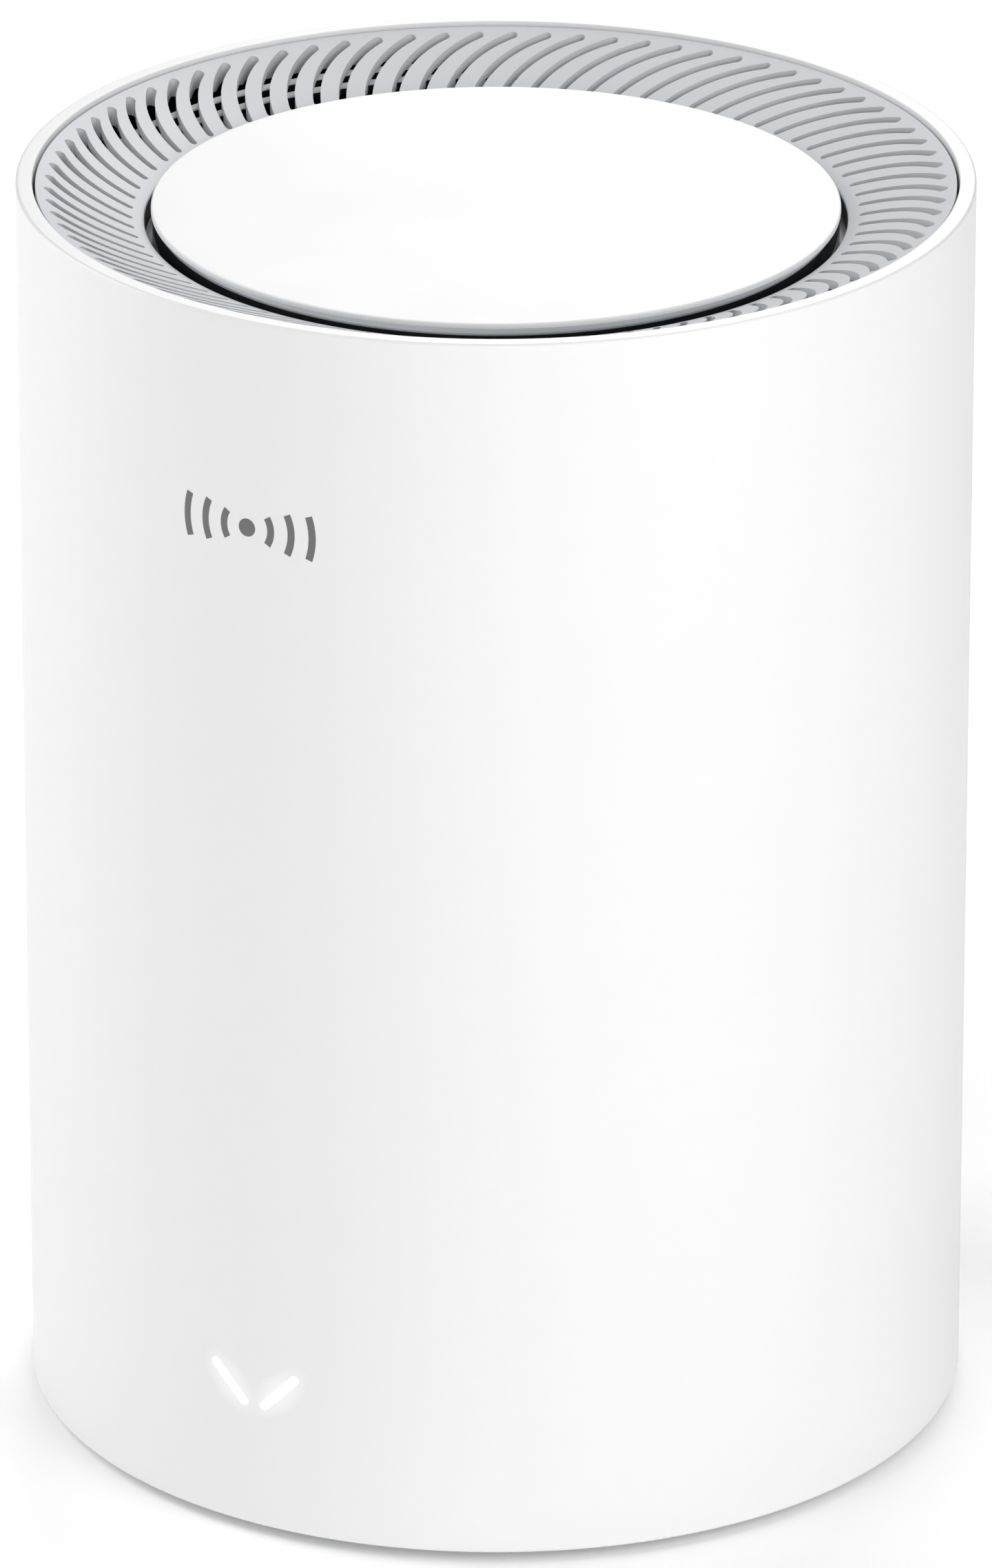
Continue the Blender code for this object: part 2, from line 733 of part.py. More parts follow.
def contacts(name, x, plug_end, roof_z, finish):
    """Eight sprung pins on one carrier strip, along the socket's roof."""
    pitch, width, height = 0.00102, 0.00045, 0.0004
    strip = block(
        (x - 0.0042, plug_end + CLEARANCE, roof_z - 0.0009),
        (x + 0.0042, plug_end + 0.0014, roof_z - CLEARANCE),
    )
    pins = add_part(f"{name}_jack_contacts", strip, finish)
    for i in range(8):
        pin_x = x + (i - 3.5) * pitch
        pin = block(
            (pin_x - width / 2, plug_end + 0.0010, roof_z - CLEARANCE - height - 0.0001),
            (pin_x + width / 2, plug_end + 0.0090, roof_z - CLEARANCE - 0.0001),
        )
        join(pins, helper(pin))
    return pins


def power_inlet(body_finish, pin_finish):
    rear = BOARD_BACK_Y + CLEARANCE
    front = PANEL_FACE_Y - 0.0001
    shoulder = PANEL_FACE_Y - PANEL_THICKNESS - CLEARANCE
    body = add_part(
        "power_inlet_body",
        block((POWER_X - 0.0045, rear, JACK_Z - 0.0050), (POWER_X + 0.0045, shoulder, JACK_Z + 0.0050)),
        body_finish,
    )
    join(body, helper(rod(0.0033, shoulder - 0.001, front, "Y", 32, (POWER_X, JACK_Z))))
    socket_end = 0.0325
    cut(body, helper(rod(0.0028, socket_end, 0.046, "Y", 24, (POWER_X, JACK_Z))))
    pin_profile = [(0, 0), (0.0010, 0), (0.0010, 0.0088), (0.0006, 0.0094), (0, 0.0094)]
    pin = add_part(
        "power_inlet_pin",
        revolved(pin_profile, closed=False, steps=16),
        pin_finish,
        (POWER_X, socket_end + CLEARANCE, JACK_Z),
    )
    pin.rotation_euler.x = -pi / 2
    return body


def push_button(name, z, cap_radius, proud, cap_finish, switch_finish):
    """A round button, its long stem and the plunger of the switch that it presses on the board."""
    axis = axis_empty(f"{name}_axis", (BUTTON_X, PANEL_FACE_Y, z))
    panel_back = -PANEL_THICKNESS
    flange = cap_radius + 0.0010
    stem = 0.0011
    body_height = 0.0034
    rest_gap = CLEARANCE
    board = BOARD_BACK_Y + CLEARANCE - PANEL_FACE_Y
    plunger_top = board + body_height + 0.0018
    profile = [
        (0, proud),
        (cap_radius - 0.0003, proud),
        (cap_radius, proud - 0.0003),
        (cap_radius, panel_back - CLEARANCE),
        (flange, panel_back - CLEARANCE),
        (flange, panel_back - CLEARANCE - 0.0010),
        (stem, panel_back - CLEARANCE - 0.0010),
        (stem, plunger_top + rest_gap),
        (0, plunger_top + rest_gap),
    ]
    button = add_part(name, revolved(profile, closed=False, steps=16), cap_finish, axis.location, axis)
    plunger = add_part(
        f"{name}_plunger",
        rod(0.0012, board + 0.0014, plunger_top, "Z", 16),
        cap_finish,
        axis.location,
        axis,
    )
    switch = add_part(
        f"{name}_switch",
        block((-0.0030, -0.0030, board), (0.0030, 0.0030, board + body_height)),
        switch_finish,
        axis.location,
    )
    cut(switch, child_of(switch, rod(0.0015, board + 0.0004, board + 0.006, "Z", 16)))
    for piece in (button, plunger, switch):
        piece.rotation_euler.x = -pi / 2
    return button


def child_of(obj, bm):
    piece = helper(bm)
    piece.parent = obj
    return piece


# Status light


def light_pipe(finish):
    """Clear plastic: a small backing plate with the two bars that fill the shell's light slots."""
    plate_half = 0.0068
    plate_back, plate_front = -0.0496, -0.0511
    plate_margin, overlap, flush_gap = 0.0015, 0.0005, 0.00002
    low = (-plate_half, plate_front, LIGHT_LOW_Z - plate_margin)
    high = (plate_half, plate_back, LIGHT_HIGH_Z + plate_margin)
    pipe = add_part("light_pipe", block(low, high), finish)
    for start, end in light_bars():
        bar = helper(prism(bar_outline(start, end, LIGHT_WIDTH), -0.0560, plate_back - overlap, "Y"))
        cylinder = rod(SHELL_RADIUS - flush_gap, 0, 0.04, "Z", 2 * ROUND_STEPS)
        apply_boolean(bar, helper(cylinder), "INTERSECT")
        join(pipe, bar)
    return pipe


def status_light(board_finish, lamp_finish, lead_finish):
    board_front, board_back = -0.0485, -0.0473
    lamp_front, lamp_gap = -0.0494, 0.0002
    lamp_half_width, lamp_half_height = 0.0012, 0.0008
    outline = rounded_rectangle(0.0080, LIGHT_LOW_Z - 0.0030, LIGHT_HIGH_Z + 0.0030, 0.0008, 2)
    add_part("light_board", prism(outline, board_front, board_back, "Y"), board_finish)
    middle_z = (LIGHT_LOW_Z + LIGHT_HIGH_Z) / 2
    middle_x = (LIGHT_INNER_X + LIGHT_OUTER_X) / 2
    for side, name in ((-1, "left"), (1, "right")):
        x = side * middle_x
        low = (x - lamp_half_width, lamp_front, middle_z - lamp_half_height)
        high = (x + lamp_half_width, board_front - lamp_gap, middle_z + lamp_half_height)
        add_part(f"status_lamp_{name}", block(low, high), lamp_finish)
    route = [
        (0.0062, board_back + CLEARANCE, 0.0140),
        (0.0066, board_back + 0.0050, 0.0132),
        (0.0100, -0.0330, 0.0100),
        (0.0180, -0.0150, 0.0090),
        (0.0240, 0.0000, 0.0095),
        (0.0260, 0.0120, 0.0120),
        (0.0260, BOARD_Y - 2 * CLEARANCE, 0.0125),
    ]
    lead("status_light_lead", route, LEAD_DIAMETER, lead_finish)


def build():
    clear_scene()
    white = material("white_abs", (0.90, 0.90, 0.90), 0.35)
    grey = material("grey_vent_abs", (0.62, 0.64, 0.67), 0.45)
    light_grey = material("light_grey_abs", (0.78, 0.79, 0.80), 0.5)
    frame_plastic = material("frame_plastic", (0.16, 0.16, 0.17), 0.6)
    rubber = material("foot_rubber", (0.10, 0.10, 0.11), 0.8)
    steel = material("zinc_steel", (0.62, 0.63, 0.64), 0.3, 1.0)
    aluminium = material("heatsink_aluminium", (0.70, 0.71, 0.73), 0.4, 1.0)
    board_green = material("board_laminate", (0.03, 0.16, 0.08), 0.5)
    black = material("black_plastic", (0.03, 0.03, 0.03), 0.45)
    pad = material("thermal_pad", (0.45, 0.55, 0.70), 0.8)
    gold = material("contact_brass", (0.80, 0.60, 0.25), 0.3, 1.0)
    clear = material("light_plastic", (0.95, 0.95, 0.97), 0.2)

    outer_shell(white)
    vent_grille(grey)
    vent_hoops(light_grey)
    top_cap(white)
    base_cover(light_grey)
    feet(rubber)
    base_screws(steel)

    inner_frame(frame_plastic)
    main_board(board_green)
    board_screws(steel)
    shield_can("processor_shield", steel, 0.0, 0.0600, 0.0140, 0.0130)
    shield_can("radio_shield", steel, 0.0, 0.0950, 0.0160, 0.0140)
    chip("processor_chip", black, -0.0020, 0.0600, 0.0070)
    chip("radio_chip", black, 0.0020, 0.0950, 0.0060)
    thermal_pad("processor_pad", pad, 0.0158, 0.0170, 0.0, 0.0600, 0.0110)
    thermal_pad("radio_pad", pad, 0.0158, 0.0170, 0.0, 0.0950, 0.0110)
    heatsink("front_heatsink", aluminium, 0.0155, -0.0050, 0.0310, 0.0300, 0.1200, 0.0062)
    thermal_pad("rear_pad", pad, BOARD_BACK_Y + CLEARANCE, BOARD_BACK_Y + 0.0015, 0.0, 0.0800, 0.0150)
    heatsink("rear_heatsink", aluminium, BOARD_BACK_Y + 0.0018, 0.0350, 0.0250, 0.0450, 0.1150, 0.0062)
    antennas(board_green, black, gold)

    port_bezel(light_grey)
    for name in JACK_XS:
        jack(name, steel, black, gold)
    power_inlet(black, steel)
    push_button("pair_button", PAIR_Z, 0.0027, 0.0008, white, black)
    push_button("reset_button", RESET_Z, 0.0010, -0.0011, black, black)

    light_pipe(clear)
    status_light(board_green, clear, black)


build()
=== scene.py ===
from math import atan2, cos, pi, radians, sin

import bmesh
import bpy
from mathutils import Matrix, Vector


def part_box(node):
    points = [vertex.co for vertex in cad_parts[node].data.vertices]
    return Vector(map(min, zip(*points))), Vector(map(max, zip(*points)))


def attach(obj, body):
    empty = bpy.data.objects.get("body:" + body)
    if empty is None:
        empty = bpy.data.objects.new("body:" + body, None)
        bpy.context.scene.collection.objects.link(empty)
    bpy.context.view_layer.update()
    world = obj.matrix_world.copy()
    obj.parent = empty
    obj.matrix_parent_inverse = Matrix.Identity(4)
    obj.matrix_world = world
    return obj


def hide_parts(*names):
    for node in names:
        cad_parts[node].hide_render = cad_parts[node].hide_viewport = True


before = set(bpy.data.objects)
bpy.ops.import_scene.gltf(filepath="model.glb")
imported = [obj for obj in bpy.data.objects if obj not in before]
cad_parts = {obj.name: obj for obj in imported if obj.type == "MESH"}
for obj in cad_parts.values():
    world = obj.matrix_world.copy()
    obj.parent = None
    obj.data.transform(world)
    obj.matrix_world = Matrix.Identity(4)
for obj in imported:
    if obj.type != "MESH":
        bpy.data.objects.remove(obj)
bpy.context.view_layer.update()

mm = 0.001
shellLow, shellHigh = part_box("outer_shell")
rimZ = shellHigh.z
shellFootZ = shellLow.z
fullRadius = shellHigh.x
bezelLow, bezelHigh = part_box("port_bezel")
barLow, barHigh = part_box("light_pipe")
plateMargin = 1.5 * mm  # the light pipe's plate stands this far past its bars

barLook = {
    "innerX": 1.3 * mm, "outerX": barHigh.x - 1.6 * mm,
    "lowZ": barLow.z + plateMargin, "highZ": barHigh.z - plateMargin,
    "width": 0.98 * mm, "gap": 0.03 * mm,  # the gap is between a bar and each side of its hole
    "outsideY": -60 * mm, "backY": -50 * mm, "holeEndY": -45 * mm,  # a bar's depth, before the shell's round
    "halo": 1.9 * mm, "haloGlow": 0.16,
}

# degrees, metres, and the lens in millimetres
view = {"azimuth": 30.4, "elevation": 22.74, "distance": 1445.8 * mm, "aimZ": 72.8 * mm, "lens": 289.8}
studio = {
    "floorHex": "#FFFFFF",
    "floorGlow": 0.1,
    "reach": 1.0,  # metres from the object to each softbox
    "size": 0.5,
    "lifts": {"low": 12, "middle": 35, "high": 62},  # degrees above the table
    "softboxes": (  # (degrees round from the camera, lifts, watts for each)
        (-110, ("low", "middle"), 2.8),  # behind on the left: the bright left edge
        (0, ("low",), 2.8),  # under the camera: an even front
        (45, ("low", "middle"), 2.0),  # front right: the brighter side
        (-50, ("high",), 2.0),  # two from above: the cap and the vent
        (90, ("high",), 2.0),
        (170, ("middle",), 3.8),  # behind: the right edge and the far side of the vent
    ),
}

doubleGap = 1e-7  # metres: vertices closer than this are one
creaseAngle = radians(35)  # edges sharper than this are shaded as creases

# Selecting and small modelling steps


def startClean():
    if bpy.context.mode != "OBJECT":
        bpy.ops.object.mode_set(mode="OBJECT")
    bpy.ops.object.select_all(action="DESELECT")


def onlySelect(piece):
    startClean()
    piece.select_set(True)
    bpy.context.view_layer.objects.active = piece


def editMode():
    bpy.ops.object.mode_set(mode="EDIT")
    bpy.ops.mesh.select_mode(type="VERT")


def objectMode():
    bpy.ops.object.mode_set(mode="OBJECT")


def pick(kind, test):
    # selects the vertices, edges or faces that pass a test
    mesh = bmesh.from_edit_mesh(bpy.context.object.data)
    bpy.ops.mesh.select_mode(type=kind)
    bpy.ops.mesh.select_all(action="DESELECT")
    items = {"VERT": mesh.verts, "EDGE": mesh.edges, "FACE": mesh.faces}[kind]
    items.ensure_lookup_table()
    for item in items:
        if test(item):
            item.select_set(True)
    bmesh.update_edit_mesh(bpy.context.object.data)


def extrudeBy(x=0, y=0, z=0):
    bpy.ops.mesh.extrude_region_move(TRANSFORM_OT_translate={"value": (x, y, z)})


def named(name):
    piece = bpy.context.object
    piece.name = name
    piece.data.name = name
    return piece


def tidyMesh(piece, edge=0):
    # merges doubles, points the faces outwards, rounds the sharp edges if asked and shades by area
    onlySelect(piece)
    editMode()
    bpy.ops.mesh.select_all(action="SELECT")
    bpy.ops.mesh.remove_doubles(threshold=doubleGap)
    bpy.ops.mesh.normals_make_consistent(inside=False)
    objectMode()
    if edge:
        rounding = piece.modifiers.new("edgeRound", "BEVEL")
        rounding.width, rounding.segments = edge, 2
        rounding.limit_method, rounding.angle_limit = "ANGLE", radians(50)
        bpy.ops.object.modifier_apply(modifier=rounding.name)
    bpy.ops.object.shade_smooth_by_angle(angle=creaseAngle)
    shading = piece.modifiers.new("evenShading", "WEIGHTED_NORMAL")
    shading.keep_sharp = True
    bpy.ops.object.modifier_apply(modifier=shading.name)
    return piece


def layAlongY(piece, x, z):
    # turns an upright piece so that its heights become places along Y, then centres it at x and z
    onlySelect(piece)
    editMode()
    bpy.ops.mesh.select_all(action="SELECT")
    bpy.ops.transform.rotate(value=pi / 2, orient_axis="X", center_override=(0, 0, 0))
    bpy.ops.transform.translate(value=(x, 0, z))
    objectMode()
    return piece


def middleOf(nodeName):
    low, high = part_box(nodeName)
    return (low + high) / 2


def turned(name, corners, steps=240, closed=True, centre=(0, 0), segments=4):
    # traces a profile of (radius, height, rounding) corners, rounds them and spins it about the upright axis
    startClean()
    bpy.ops.mesh.primitive_plane_add(size=mm)
    editMode()
    bpy.ops.mesh.merge(type="CENTER")
    bpy.ops.transform.translate(value=(corners[0][0], 0, corners[0][1]))
    for before, after in zip(corners, corners[1:]):
        extrudeBy(after[0] - before[0], 0, after[1] - before[1])
    if closed:
        ends = [Vector((c[0], 0, c[1])) for c in (corners[0], corners[-1])]
        pick("VERT", lambda v: any((v.co - end).length < doubleGap for end in ends))
        bpy.ops.mesh.edge_face_add()
    for corner in corners:
        if len(corner) > 2 and corner[2] > 0:
            place = Vector((corner[0], 0, corner[1]))
            pick("VERT", lambda v: (v.co - place).length < doubleGap)
            bpy.ops.mesh.bevel(offset=corner[2], offset_type="OFFSET", segments=segments, affect="VERTICES")
    bpy.ops.mesh.select_all(action="SELECT")
    bpy.ops.mesh.spin(steps=steps, angle=2 * pi, center=(0, 0, 0), axis=(0, 0, 1))
    bpy.ops.mesh.select_all(action="SELECT")
    bpy.ops.mesh.remove_doubles(threshold=doubleGap)
    bpy.ops.mesh.normals_make_consistent(inside=False)
    if centre != (0, 0):
        bpy.ops.transform.translate(value=(centre[0], centre[1], 0))
    objectMode()
    return named(name)


def block(name, low, high, rounding=0, along="Z", segments=4):
    # a box between two corners, its edges along one axis rounded if asked
    startClean()
    low, high = Vector(low), Vector(high)
    bpy.ops.mesh.primitive_cube_add(size=1, location=(low + high) / 2, scale=high - low)
    bpy.ops.object.transform_apply(location=True, rotation=True, scale=True)
    if rounding:
        editMode()

        def runsAlong(edge):
            run = (edge.verts[1].co - edge.verts[0].co).normalized()
            return abs(run["XYZ".index(along)]) > 0.99

        pick("EDGE", runsAlong)
        bpy.ops.mesh.bevel(offset=rounding, segments=segments, affect="EDGES", clamp_overlap=True)
        objectMode()
    return named(name)


def rod(name, radius, start, end, along="Z", at=(0, 0), sides=48):
    # a cylinder from start to end along an axis, with its centre line at the other two coordinates
    startClean()
    middle = (start + end) / 2
    place = {"Z": (at[0], at[1], middle), "Y": (at[0], middle, at[1])}[along]
    turn = {"Z": (0, 0, 0), "Y": (pi / 2, 0, 0)}[along]
    bpy.ops.mesh.primitive_cylinder_add(
        vertices=sides, radius=radius, depth=end - start, location=place, rotation=turn)
    bpy.ops.object.transform_apply(location=True, rotation=True, scale=True)
    return named(name)


def turnMesh(piece, angle):
    # turns a piece's mesh about the upright axis, counted from +X towards +Y
    onlySelect(piece)
    editMode()
    bpy.ops.mesh.select_all(action="SELECT")
    bpy.ops.transform.rotate(value=-angle, orient_axis="Z", center_override=(0, 0, 0))
    objectMode()
    return piece


def copyOf(piece, name, angle):
    # a copy with its own mesh, turned about the upright axis
    onlySelect(piece)
    bpy.ops.object.duplicate()
    turnMesh(bpy.context.object, angle)
    return named(name)


def joined(pieces, name):
    startClean()
    for piece in pieces:
        piece.select_set(True)
    bpy.context.view_layer.objects.active = pieces[0]
    bpy.ops.object.join()
    return named(name)


def boolean(piece, other, operation="DIFFERENCE"):
    # joins or cuts with another piece, which is then gone
    onlySelect(piece)
    step = piece.modifiers.new("boolean", "BOOLEAN")
    step.operation = operation
    step.object = other
    step.solver = "EXACT"
    bpy.ops.object.modifier_apply(modifier=step.name)
    bpy.data.objects.remove(other)
    return piece


def carve(piece, *cutters):
    for cutter in cutters:
        boolean(piece, cutter)
    return piece


def finishPiece(piece, finish, body, replaced=()):
    piece.data.materials.clear()
    piece.data.materials.append(finish)
    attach(piece, body)
    if replaced:
        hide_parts(*replaced)
    return piece


def paintFaces(piece, finish, test):
    # gives the faces that pass a test a further finish
    piece.data.materials.append(finish)
    for face in piece.data.polygons:
        if test(face):
            face.material_index = len(piece.data.materials) - 1


# Materials


def linear(hexColour):
    parts = [int(hexColour[i:i + 2], 16) / 255 for i in (1, 3, 5)]
    return tuple(p / 12.92 if p <= 0.04045 else ((p + 0.055) / 1.055) ** 2.4 for p in parts) + (1.0,)


def addNode(tree, kind, settings=(), links=()):
    # settings are (socket or attribute, value), links are (input socket, node, output socket)
    node = tree.nodes.new(kind)
    for key, value in dict(settings).items():
        if isinstance(key, str) and key not in node.inputs:
            setattr(node, key, value)
        else:
            node.inputs[key].default_value = value
    for socket, source, output in links:
        tree.links.new(source.outputs[output], node.inputs[socket])
    return node


def newMaterial(name):
    made = bpy.data.materials.new(name)
    made.use_nodes = True
    tree = made.node_tree
    return made, tree, tree.nodes["Principled BSDF"]


def addPattern(tree, spacing, source, output, detail):
    # a noise with its clouds or grains this many millimetres apart
    return addNode(tree, "ShaderNodeTexNoise", {
        "Scale": 1 / (spacing * mm), "Detail": detail}, [("Vector", source, output)])


def patternedSurface(tree, shader, look, mottle, grain):
    # one pattern mottles the colour and the gloss, and another gives the fine relief
    tint = addNode(tree, "ShaderNodeMixRGB", {
        "Color1": linear(look["hexDark"]), "Color2": linear(look["hex"])}, [("Fac", mottle, "Fac")])
    tree.links.new(tint.outputs["Color"], shader.inputs["Base Color"])
    roughLow, roughHigh = look["rough"]
    gloss = addNode(tree, "ShaderNodeMapRange", {
        "From Min": 0.3, "From Max": 0.7, "To Min": roughLow, "To Max": roughHigh},
        [("Value", mottle, "Fac")])
    tree.links.new(gloss.outputs["Result"], shader.inputs["Roughness"])
    relief = addNode(tree, "ShaderNodeBump", {
        "Strength": look["bump"], "Distance": look["depth"] * mm}, [("Height", grain, "Fac")])
    tree.links.new(relief.outputs["Normal"], shader.inputs["Normal"])


def mouldedPlastic(name, look):
    made, tree, shader = newMaterial(name)
    coords = addNode(tree, "ShaderNodeTexCoord")
    clouds = addPattern(tree, look["cloud"], coords, "Object", 3.0)
    grain = addPattern(tree, look["grain"], coords, "Object", 2.0)
    patternedSurface(tree, shader, look, clouds, grain)
    shader.inputs["IOR"].default_value = look["ior"]
    return made


def metalFinish(name, look):
    made, tree, shader = newMaterial(name)
    coords = addNode(tree, "ShaderNodeTexCoord")
    stretch = addNode(tree, "ShaderNodeMapping", {"Scale": look["stretch"]}, [("Vector", coords, "Object")])
    lines = addPattern(tree, look["grain"], stretch, "Vector", 3.0)
    patternedSurface(tree, shader, look, lines, lines)
    shader.inputs["Metallic"].default_value = 1.0
    return made


plasticBase = {"ior": 1.53, "cloud": 18, "grain": 0.25, "depth": 0.02, "bump": 0.12}
finishes = {
    # ABS moulded in a spark-eroded tool: a satin white with a fine grain that softens every highlight
    "shellWhiteAbs": mouldedPlastic("satinWhiteAbsShellMoulded", {
        **plasticBase, "hex": "#F1F1F1", "hexDark": "#EFEFEF", "rough": (0.36, 0.42)}),
    # the same ABS with a slightly duller face, so the disc reads as evenly lit
    "capWhiteAbs": mouldedPlastic("satinWhiteAbsFineTextured", {
        **plasticBase, "hex": "#F4F4F4", "hexDark": "#F2F2F2", "rough": (0.40, 0.46)}),
    # coloured ABS, matt moulded: a flat cool grey whose ribs stay free of glare
    "coolGreyAbs": mouldedPlastic("coolGreyAbsMattMoulded", {
        **plasticBase, "hex": "#D3D5D9", "hexDark": "#D0D2D6", "rough": (0.46, 0.54)}),
    # painted shade: matt black inside the shell, under the ribs and on the hoops' sides, where the shade
    # falls: it swallows light, so the gaps look deep
    "paintedShadeBlack": mouldedPlastic("paintedShadeMattBlack", {
        **plasticBase, "hex": "#0C0C0E", "hexDark": "#09090A", "rough": (0.6, 0.7), "bump": 0.2}),
    # painted shade: a near-black satin for the groove's floor and wall in the cap's shade, with a soft sheen
    # where light comes in low
    "paintedGrooveShade": mouldedPlastic("paintedShadeGrooveSatin", {
        **plasticBase, "hex": "#34363A", "hexDark": "#303236", "rough": (0.40, 0.46), "bump": 0.01}),
    # pale ABS of the hoops, matt moulded: light enough to show as bright steps down in the slots
    "hoopGreyAbs": mouldedPlastic("paleGreyAbsMattMoulded", {
        **plasticBase, "hex": "#F4F5F7", "hexDark": "#F0F1F3", "rough": (0.48, 0.56)}),
    # light grey ABS with a coarser spark-eroded grain: it hides scuffs on the base and the port panel
    "lightGreyAbs": mouldedPlastic("lightGreyAbsSparkEroded", {
        **plasticBase, "hex": "#D2D4D6", "hexDark": "#CBCDD0", "rough": (0.50, 0.58),
        "grain": 0.4, "bump": 0.3}),
    # black-grey ABS of the inner frame, moulded without polish: dark and dull behind the slots
    "darkGreyAbs": mouldedPlastic("darkGreyAbsMoulded", {
        **plasticBase, "hex": "#17171A", "hexDark": "#131315", "rough": (0.5, 0.6)}),
    # thermoplastic rubber, moulded: a dull mid grey with a soft grain and hardly any highlight
    "softRubber": mouldedPlastic("greyRubberMoulded", {
        **plasticBase, "hex": "#77787B", "hexDark": "#6C6D70", "rough": (0.72, 0.82),
        "grain": 0.5, "bump": 0.35}),
    # glass-filled nylon, moulded: near black with a faint cloudy sheen
    "blackNylon": mouldedPlastic("blackGlassFilledNylonMoulded", {
        **plasticBase, "hex": "#161618", "hexDark": "#101012", "rough": (0.38, 0.5),
        "cloud": 3, "grain": 0.12}),
    # extruded lead sleeve: smooth and slightly glossy black
    "leadSleeve": mouldedPlastic("blackLeadSleeveExtruded", {
        **plasticBase, "hex": "#1B1B1D", "hexDark": "#151517", "rough": (0.3, 0.38),
        "cloud": 6, "bump": 0.05}),
    # glass laminate under green solder mask: glossy green with the weave's faint mottling
    "greenLaminate": mouldedPlastic("greenSolderMaskedLaminate", {
        **plasticBase, "hex": "#1F5B3A", "hexDark": "#194D31", "rough": (0.24, 0.34),
        "cloud": 2.5, "grain": 0.6}),
    # bare glass laminate of the antennas: a milky yellow-green strip
    "antennaLaminate": mouldedPlastic("bareGlassLaminateRouted", {
        **plasticBase, "hex": "#A9AE86", "hexDark": "#9DA27B", "rough": (0.35, 0.45),
        "cloud": 2.5, "grain": 0.6}),
    # filled silicone sheet: a soft matt blue-grey pad
    "thermalPad": mouldedPlastic("filledSiliconeSheetCut", {
        **plasticBase, "hex": "#8C9CB8", "hexDark": "#8292AE", "rough": (0.75, 0.85), "cloud": 5}),
    # pad-printed ink: a thin, even mid grey that is slightly duller than the shell
    "markInk": mouldedPlastic("greyPadPrintInk", {
        **plasticBase, "hex": "#707070", "hexDark": "#6C6C6C", "rough": (0.48, 0.55), "bump": 0.05}),
    # clear polycarbonate light guide, moulded and polished: pale, smooth and a little cloudy
    "clearLens": mouldedPlastic("frostedPolycarbonateMoulded", {
        **plasticBase, "ior": 1.58, "hex": "#E4E9E6", "hexDark": "#DCE2DF", "rough": (0.14, 0.2),
        "cloud": 1.5, "bump": 0.04}),
    # zinc-plated steel sheet, rolled: grey and fairly bright, with faint rolling lines
    "platedSteel": metalFinish("zincPlatedSteelRolled", {
        "hex": "#CFD0D1", "hexDark": "#BBBDBE", "rough": (0.24, 0.38), "grain": 0.3, "stretch": (1, 0.15, 1),
        "bump": 0.1, "depth": 0.01}),
    # extruded aluminium, bead blasted: pale, soft-edged reflections with a fine sparkle
    "blastedAluminium": metalFinish("aluminiumExtrudedBlasted", {
        "hex": "#C7C9CC", "hexDark": "#B8BABE", "rough": (0.38, 0.5), "grain": 0.2, "stretch": (1, 1, 1),
        "bump": 0.2, "depth": 0.01}),
    # chrome-plated ABS, polished: a mirror that repeats the vent and the groove under the cap
    "polishedBand": metalFinish("chromePlatedAbsPolished", {
        "hex": "#E2E4E7", "hexDark": "#DDDFE2", "rough": (0.03, 0.05), "grain": 0.6, "stretch": (1, 1, 1),
        "bump": 0.01, "depth": 0.002}),
    # phosphor bronze, gold plated: warm, smooth and bright
    "goldPlating": metalFinish("goldPlatedPhosphorBronze", {
        "hex": "#E3BC66", "hexDark": "#D8AE58", "rough": (0.18, 0.26), "grain": 0.3, "stretch": (1, 1, 1),
        "bump": 0.05, "depth": 0.01}),
}


def barRun():
    # the right-hand bar of the status light: the line from end to end, and its middle
    low, high = (Vector((barLook[x], 0, barLook[z])) for x, z in (("innerX", "lowZ"), ("outerX", "highZ")))
    return high - low, (low + high) / 2


def litDiffuser():
    # opal polycarbonate, moulded and lit from behind: even white light, a touch softer in small clouds
    made, tree, shader = newMaterial("opalPolycarbonateLit")
    shader.inputs["Base Color"].default_value = linear("#FFFFFF")
    shader.inputs["Roughness"].default_value = 0.35
    shader.inputs["Emission Color"].default_value = linear("#FDFEFF")
    coords = addNode(tree, "ShaderNodeTexCoord")
    clouds = addPattern(tree, 1.5, coords, "Object", 2.0)
    glow = addNode(tree, "ShaderNodeMapRange", {"To Min": 2.2, "To Max": 2.8}, [("Value", clouds, "Fac")])
    tree.links.new(glow.outputs["Result"], shader.inputs["Emission Strength"])
    return made


def addBarHalo(made):
    # the white plastic scatters the bars' light, so each bar has a faint oval glow around it
    tree = made.node_tree
    shader = tree.nodes["Principled BSDF"]
    coords = addNode(tree, "ShaderNodeTexCoord")
    run, middle = barRun()
    ovals = []
    for side in (-1, 1):
        place = addNode(tree, "ShaderNodeMapping", {
            "vector_type": "TEXTURE", "Location": (side * middle.x, -fullRadius, middle.z),
            "Rotation": (0, -side * atan2(run.z, run.x), 0),
            "Scale": (run.length / 2 + barLook["halo"], 4 * mm, barLook["width"] / 2 + barLook["halo"])},
            [("Vector", coords, "Object")])
        ovals.append(addNode(tree, "ShaderNodeTexGradient", {"gradient_type": "SPHERICAL"},
                             [("Vector", place, "Vector")]))
    both = addNode(tree, "ShaderNodeMath", {"operation": "ADD"}, [
        (0, ovals[0], "Fac"), (1, ovals[1], "Fac")])
    strength = addNode(tree, "ShaderNodeMath", {"operation": "MULTIPLY", 1: barLook["haloGlow"]},
                       [(0, both, 0)])
    tree.links.new(strength.outputs[0], shader.inputs["Emission Strength"])
    shader.inputs["Emission Color"].default_value = linear("#FBFCFF")


finishes["litDiffuser"] = litDiffuser()
addBarHalo(finishes["shellWhiteAbs"])
print("materials made")

# Shell

